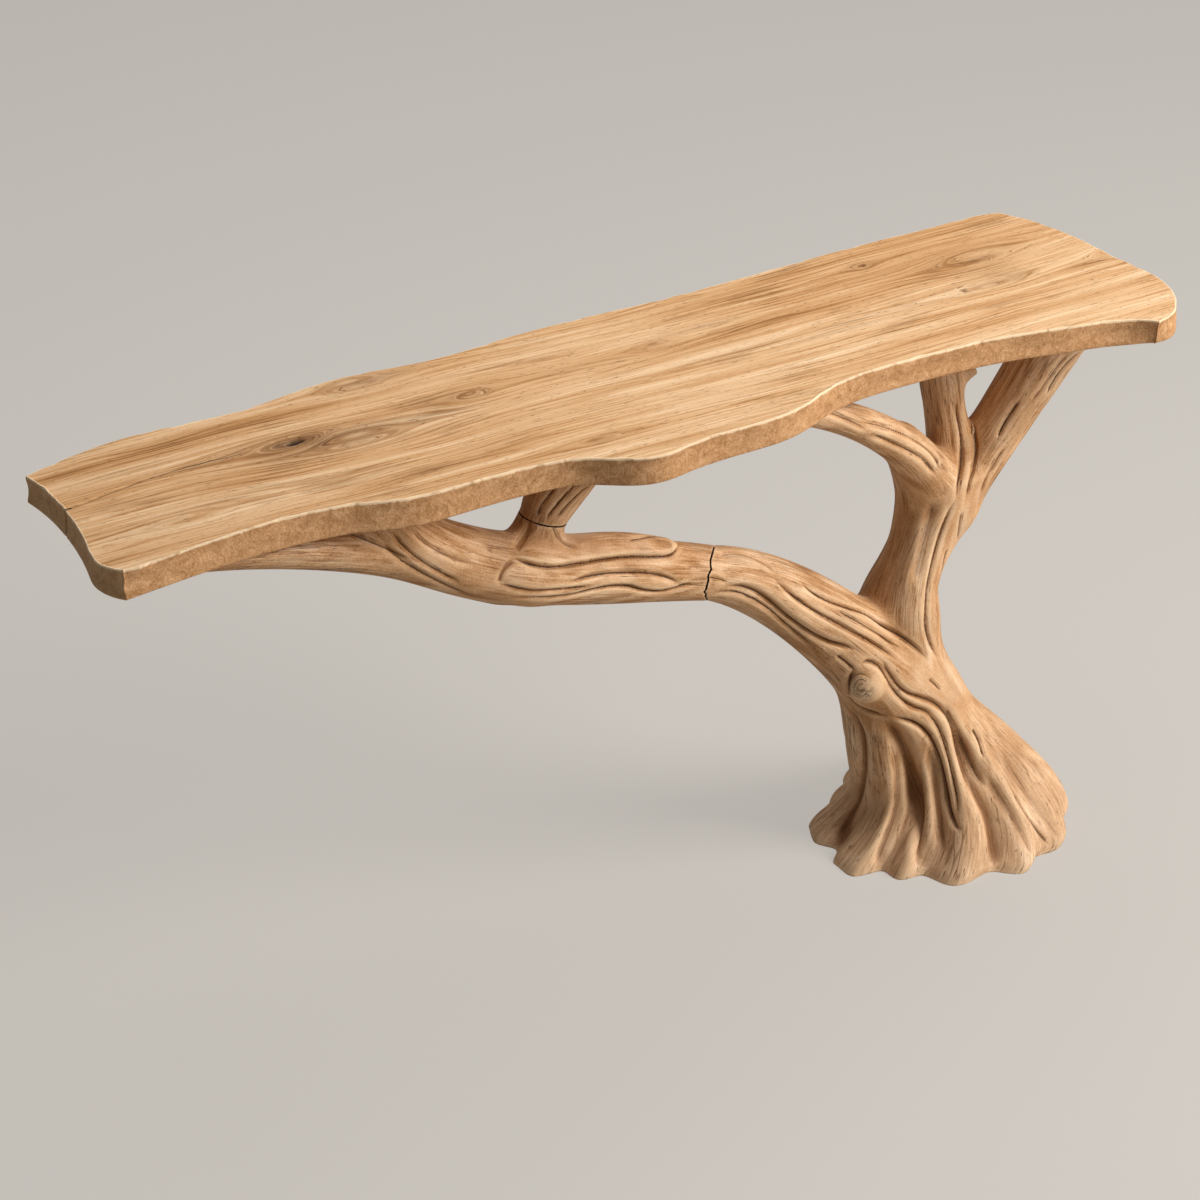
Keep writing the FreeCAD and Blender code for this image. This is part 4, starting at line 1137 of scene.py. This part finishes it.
across, knotty = grainAcross(plankPoints)
side, sawn, arrisHighlightAndWear, crackAndHoleShade = np.zeros((4, len(plankPoints)))
side[first:lowFirst] = 1
# the left end gets painted fill light
sawn[wallIndex[:, leftFrom:]] = 1
# the top arris gets a pale mark: partly rubbed wear, partly painted highlight
arrisHighlightAndWear[wallIndex[:4]] = 1
# painted shade in the crack, the knot hole and the crack's mouth in the end
opened = slit * np.minimum(reach * 5, 1) * (topX < crackEnd)
crackAndHoleShade[:first] = np.clip(np.maximum(opened, hole * 1.2), 0, 1).ravel()
crackAndHoleShade[wallIndex[:-4]] = np.maximum(crackAndHoleShade[wallIndex[:-4]], crackCut)
plankMarks = {"grain": np.column_stack([plankPoints[:, 0], across, plankPoints[:, 2]]), "knotty": knotty,
              "side": side, "sawn": sawn, "arris": arrisHighlightAndWear, "shadedCleft": crackAndHoleShade}
for name, values in plankMarks.items():
    writeMark(plankMesh, name, values)

# planed and oiled hardwood plank: honey and brown lines that close round its knots, short dark pores, a
# speckled live edge with a pale arris that is partly rubbed wear and partly painted highlight, painted fill
# light on its left end and painted shade in its crack and knot hole; the lines are drawn about twice as
# coarse as real grain, so that they show
plankTimber = {
    "tones": ((0.0, "#835329"), (0.28, "#B88552"), (0.5, "#D2A271"), (0.75, "#E4BC90"), (1.0, "#F3D2AB")),
    # the dark of the crack and knot hole is painted shade; the pale arris is partly rubbed wear and partly
    # painted highlight
    "smoke": "#8F6740", "knot": "#5F3A1E", "shadedCleft": "#22130A", "arrisHighlightAndWear": "#F3D5AE", "fibre": "#74491F",
    "pore": "#5A3616",
    "edgeTones": ((0.0, "#7A4F2B"), (0.35, "#A47548"), (0.6, "#C29163"), (1.0, "#E2B789")),
    # layers of lines: length and width in mm, and finer detail
    "layers": (("line", 360, 2.6, 4.0), ("hair", 110, 1.3, 2.0), ("fibre", 160, 2.2, 3.0),
               ("pore", 12, 1.5, 1.0), ("band", 500, 24, 3.0), ("smoke", 150, 36, 4.0),
               ("swing", 330, 40, 2.0)),
    # how much paler the left end is made: painted fill light, as it faces away from the key lamp
    "ringStep": 7.5, "ringSwing": 26, "speck": 2.7, "swirl": 22, "sawnPale": 0.3,
    "rough": (0.8, 0.64), "relief": 0.45,
}


def plankMaterial():
    material, tree, shader = newMaterial("oiled plank wood")
    grain = addNode(tree, "Attribute", attribute_name="grain").outputs["Vector"]
    names = ("knotty", "side", "sawn", "arris", "shadedCleft")
    mark = {n: addNode(tree, "Attribute", attribute_name=n).outputs["Fac"] for n in names}
    place = addNode(tree, "TexCoord").outputs["Object"]
    layers = {}
    for layer, long, wide, detail in plankTimber["layers"]:
        size = (1 / (long * mm), 1 / (wide * mm), 3.0)
        shift = (len(layers) * 7.3, 0, 0)  # sets each layer apart
        spread = addNode(tree, "Mapping", {"Vector": grain, "Scale": size, "Location": shift})
        layers[layer] = addNode(tree, "TexNoise", {"Vector": spread, "Scale": 1.0, "Detail": detail,
                                                   "Roughness": 0.64})
    # growth rings: a sine of the depth across the grain, swung by a slow noise, with only its crests dark
    deep = addNode(tree, "SeparateXYZ", {0: grain}).outputs["Y"]
    swing = addNode(tree, "Math", {0: layers["swing"], 1: plankTimber["ringSwing"]}, operation="MULTIPLY")
    turns = 2 * math.pi / (plankTimber["ringStep"] * mm)
    rings = addNode(tree, "Math", {0: deep, 1: turns, 2: swing}, operation="MULTIPLY_ADD")
    rings = addNode(tree, "Math", {0: rings}, operation="SINE")
    rings = addNode(tree, "MapRange", {"Value": rings, "From Min": 0.1, "From Max": 1.0})
    worn = addNode(tree, "MapRange", {"Value": layers["smoke"], "From Min": 0.38, "From Max": 0.62,
                                      "To Min": 0.03, "To Max": 0.3})
    rings = addNode(tree, "Math", {0: rings, 1: worn}, operation="MULTIPLY")
    paler = addNode(tree, "MapRange", {"Value": deep, "From Min": 0.1, "From Max": -0.15,
                                       "To Min": 0.55, "To Max": 0.36})  # towards the front edge
    level = -0.33
    for layer, weight in (("line", 0.75), ("band", 1.4), ("hair", 0.7)):
        level = addNode(tree, "Math", {0: layers[layer], 1: weight, 2: level}, operation="MULTIPLY_ADD")
    for less in (rings, paler):
        level = addNode(tree, "Math", {0: level, 1: less}, operation="SUBTRACT")
    haze, strand, pore = (
        addNode(tree, "MapRange", {"Value": layers[layer], "From Min": start, "From Max": end,
                                   "To Max": most})
        for layer, start, end, most in (("smoke", 0.55, 0.72, 0.45), ("fibre", 0.62, 0.68, 0.35),
                                        ("pore", 0.66, 0.71, 0.6)))
    streaky = addNode(tree, "MapRange", {"Value": layers["line"], "From Min": 0.36, "From Max": 0.62,
                                         "To Min": 1.4, "To Max": 0.2})
    knot = addNode(tree, "Math", {0: mark["knotty"], 1: streaky}, operation="MULTIPLY")
    knot = addNode(tree, "Math", {0: knot, 1: 0.85}, operation="MINIMUM")
    # the live edge is mottled instead of lined
    speck = addNode(tree, "TexNoise", {"Vector": place, "Scale": 1 / (plankTimber["speck"] * mm),
                                       "Detail": 4.0, "Roughness": 0.7})
    swirl = addNode(tree, "TexNoise", {"Vector": place, "Scale": 1 / (plankTimber["swirl"] * mm),
                                       "Detail": 3.0, "Distortion": 2.0})
    # the left end's mottle is made paler: painted fill light
    edge = -0.36
    for mottle, weight in ((swirl, 0.8), (speck, 1.05), (mark["sawn"], plankTimber["sawnPale"])):
        edge = addNode(tree, "Math", {0: mottle, 1: weight, 2: edge}, operation="MULTIPLY_ADD")
    mottled = addNode(tree, "ValToRGB", {"Fac": edge}, stops=plankTimber["edgeTones"])
    # the pale arris: partly rubbed wear and partly painted highlight
    arrisHighlightAndWearShare = addNode(tree, "Math", {0: mark["arris"], 1: swirl}, operation="MULTIPLY")
    arrisHighlightAndWearShare = addNode(tree, "MapRange", {"Value": arrisHighlightAndWearShare, "From Min": 0.22, "From Max": 0.45, "To Max": 0.85})
    color = addNode(tree, "ValToRGB", {"Fac": level}, stops=plankTimber["tones"])
    for coat, share in (("smoke", haze), ("fibre", strand), ("pore", pore), ("knot", knot),
                        (mottled, mark["side"]), ("arrisHighlightAndWear", arrisHighlightAndWearShare), ("shadedCleft", mark["shadedCleft"])):
        paint = hexColor(plankTimber[coat]) if isinstance(coat, str) else coat
        color = addNode(tree, "Mix", {0: share, 6: color, 7: paint}, data_type="RGBA").outputs[2]
    rise = addNode(tree, "Math", {0: speck, 1: mark["side"]}, operation="MULTIPLY")
    rise = addNode(tree, "Math", {0: rise, 1: 2.5, 2: layers["hair"]}, operation="MULTIPLY_ADD")
    for dent in (strand, pore):
        rise = addNode(tree, "Math", {0: dent, 1: -0.6, 2: rise}, operation="MULTIPLY_ADD")
    bump = addNode(tree, "Bump", {"Height": rise, "Strength": 0.6, "Distance": plankTimber["relief"] * mm})
    dull, oiled = plankTimber["rough"]
    rough = addNode(tree, "MapRange", {"Value": layers["line"], "To Min": dull, "To Max": oiled})
    feed(shader, {"Base Color": color, "Normal": bump, "Roughness": rough, "IOR": 1.5,
                  "Specular IOR Level": 0.2})
    return material


newPiece("plankWood", plankMesh, plankMaterial(), "slab_wood", "slab_top")


# what is inside: bright zinc on the rods, dark mill scale on the ballast plates, turned beech dowels
inside = {
    "bright zinc plate": {
        "tones": ((0.3, "#8C9094"), (0.7, "#C4C8CB")), "grain": 6, "metal": 1.0, "rough": (0.28, 0.45),
        "nodes": ("limb_stud", "seat_studs", "ballast_rod", "ballast_washer", "ballast_nut")},
    "mill scale steel": {
        "tones": ((0.3, "#2B2C2F"), (0.62, "#4A4C50"), (0.8, "#6A4630")), "grain": 9, "metal": 0.9,
        "rough": (0.4, 0.65), "nodes": ("ballast_disc_1", "ballast_disc_2", "ballast_disc_3")},
    "turned beech": {
        "tones": ((0.3, "#C79B6D"), (0.7, "#E2BE93")), "grain": 1.5, "metal": 0.0, "rough": (0.5, 0.65),
        "nodes": ("limb_dowels", "riser_dowel")},
}
for finish, kind in inside.items():
    material, tree, shader = newMaterial(finish)
    place = addNode(tree, "TexCoord").outputs["Object"]
    cloud = addNode(tree, "TexNoise", {"Vector": place, "Scale": 1 / (kind["grain"] * mm), "Detail": 4.0,
                                       "Roughness": 0.65})
    tone = addNode(tree, "ValToRGB", {"Fac": cloud}, stops=kind["tones"])
    smooth, dull = kind["rough"]
    rough = addNode(tree, "MapRange", {"Value": cloud, "To Min": smooth, "To Max": dull})
    bump = addNode(tree, "Bump", {"Height": cloud, "Strength": 0.3, "Distance": 0.1 * mm})
    feed(shader, {"Base Color": tone, "Roughness": rough, "Normal": bump, "Metallic": kind["metal"]})
    for node in kind["nodes"]:
        nodes[node].data.materials.clear()
        nodes[node].data.materials.append(material)
print("inside pieces finished")


# a plain pale floor and soft light from the right and the front: each lamp's place, size in m and watts
studio = {"floor": "#D8D3CC", "floorLit": "#B8B1A8", "floorSide": 60, "floorGlow": 0.6, "farGlow": 0.8,
          "air": 0.1, "aim": (0.15, 0, 0.5),
          "lamps": (("key", (3.1, -2.5, 2.8), 2.2, 240), ("top", (0.3, 0.4, 3.2), 2.6, 42),
                    ("low", (2.2, -3.2, 0.9), 1.6, 11))}


# what the camera, gloss and glass see is part plain colour, so the background stays pale and the light
# stays the same
def paleToTheEye(tree, kind, lit, share):
    rays = addNode(tree, "LightPath").outputs
    seen = rays["Is Camera Ray"]
    for ray in ("Is Glossy Ray", "Is Transmission Ray"):
        seen = addNode(tree, "Math", {0: seen, 1: rays[ray]}, operation="MAXIMUM")
    seen = addNode(tree, "Math", {0: seen, 1: share}, operation="MULTIPLY")
    plain = addNode(tree, kind, {"Color": hexColor(studio["floor"]), "Strength": 1.0})
    return addNode(tree, "MixShader", {0: seen, 1: lit, 2: plain})


half = studio["floorSide"] / 2
floorCorners = [(-half, -half, 0), (half, -half, 0), (half, half, 0), (-half, half, 0)]
floorMesh = bpy.data.meshes.new("floor")
floorMesh.from_pydata(floorCorners, [], [(0, 1, 2, 3)])
floor = bpy.data.objects.new("floor", floorMesh)
scene.collection.objects.link(floor)
floor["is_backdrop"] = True
paper, tree, shader = newMaterial("pale studio floor")
feed(shader, {"Base Color": hexColor(studio["floorLit"]), "Roughness": 0.9})
pale = paleToTheEye(tree, "Emission", shader, studio["floorGlow"])
feed(tree.nodes["Material Output"], {"Surface": pale})
floorMesh.materials.append(paper)
for name, spot, size, watts in studio["lamps"]:
    lampData = bpy.data.lights.new(name, "AREA")
    lampData.size = size
    lampData.energy = watts
    lamp = bpy.data.objects.new(name, lampData)
    lamp.location = spot
    lamp.rotation_euler = (Vector(studio["aim"]) - Vector(spot)).to_track_quat("-Z", "Y").to_euler()
    scene.collection.objects.link(lamp)
air = bpy.data.worlds.new("air")
scene.world = air
air.use_nodes = True
tree = air.node_tree
sky = tree.nodes["Background"]
feed(sky, {"Color": (1, 1, 1, 1), "Strength": studio["air"]})
pale = paleToTheEye(tree, "Background", sky, studio["farGlow"])
feed(tree.nodes["World Output"], {"Surface": pale})
print("studio set")

low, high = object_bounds()
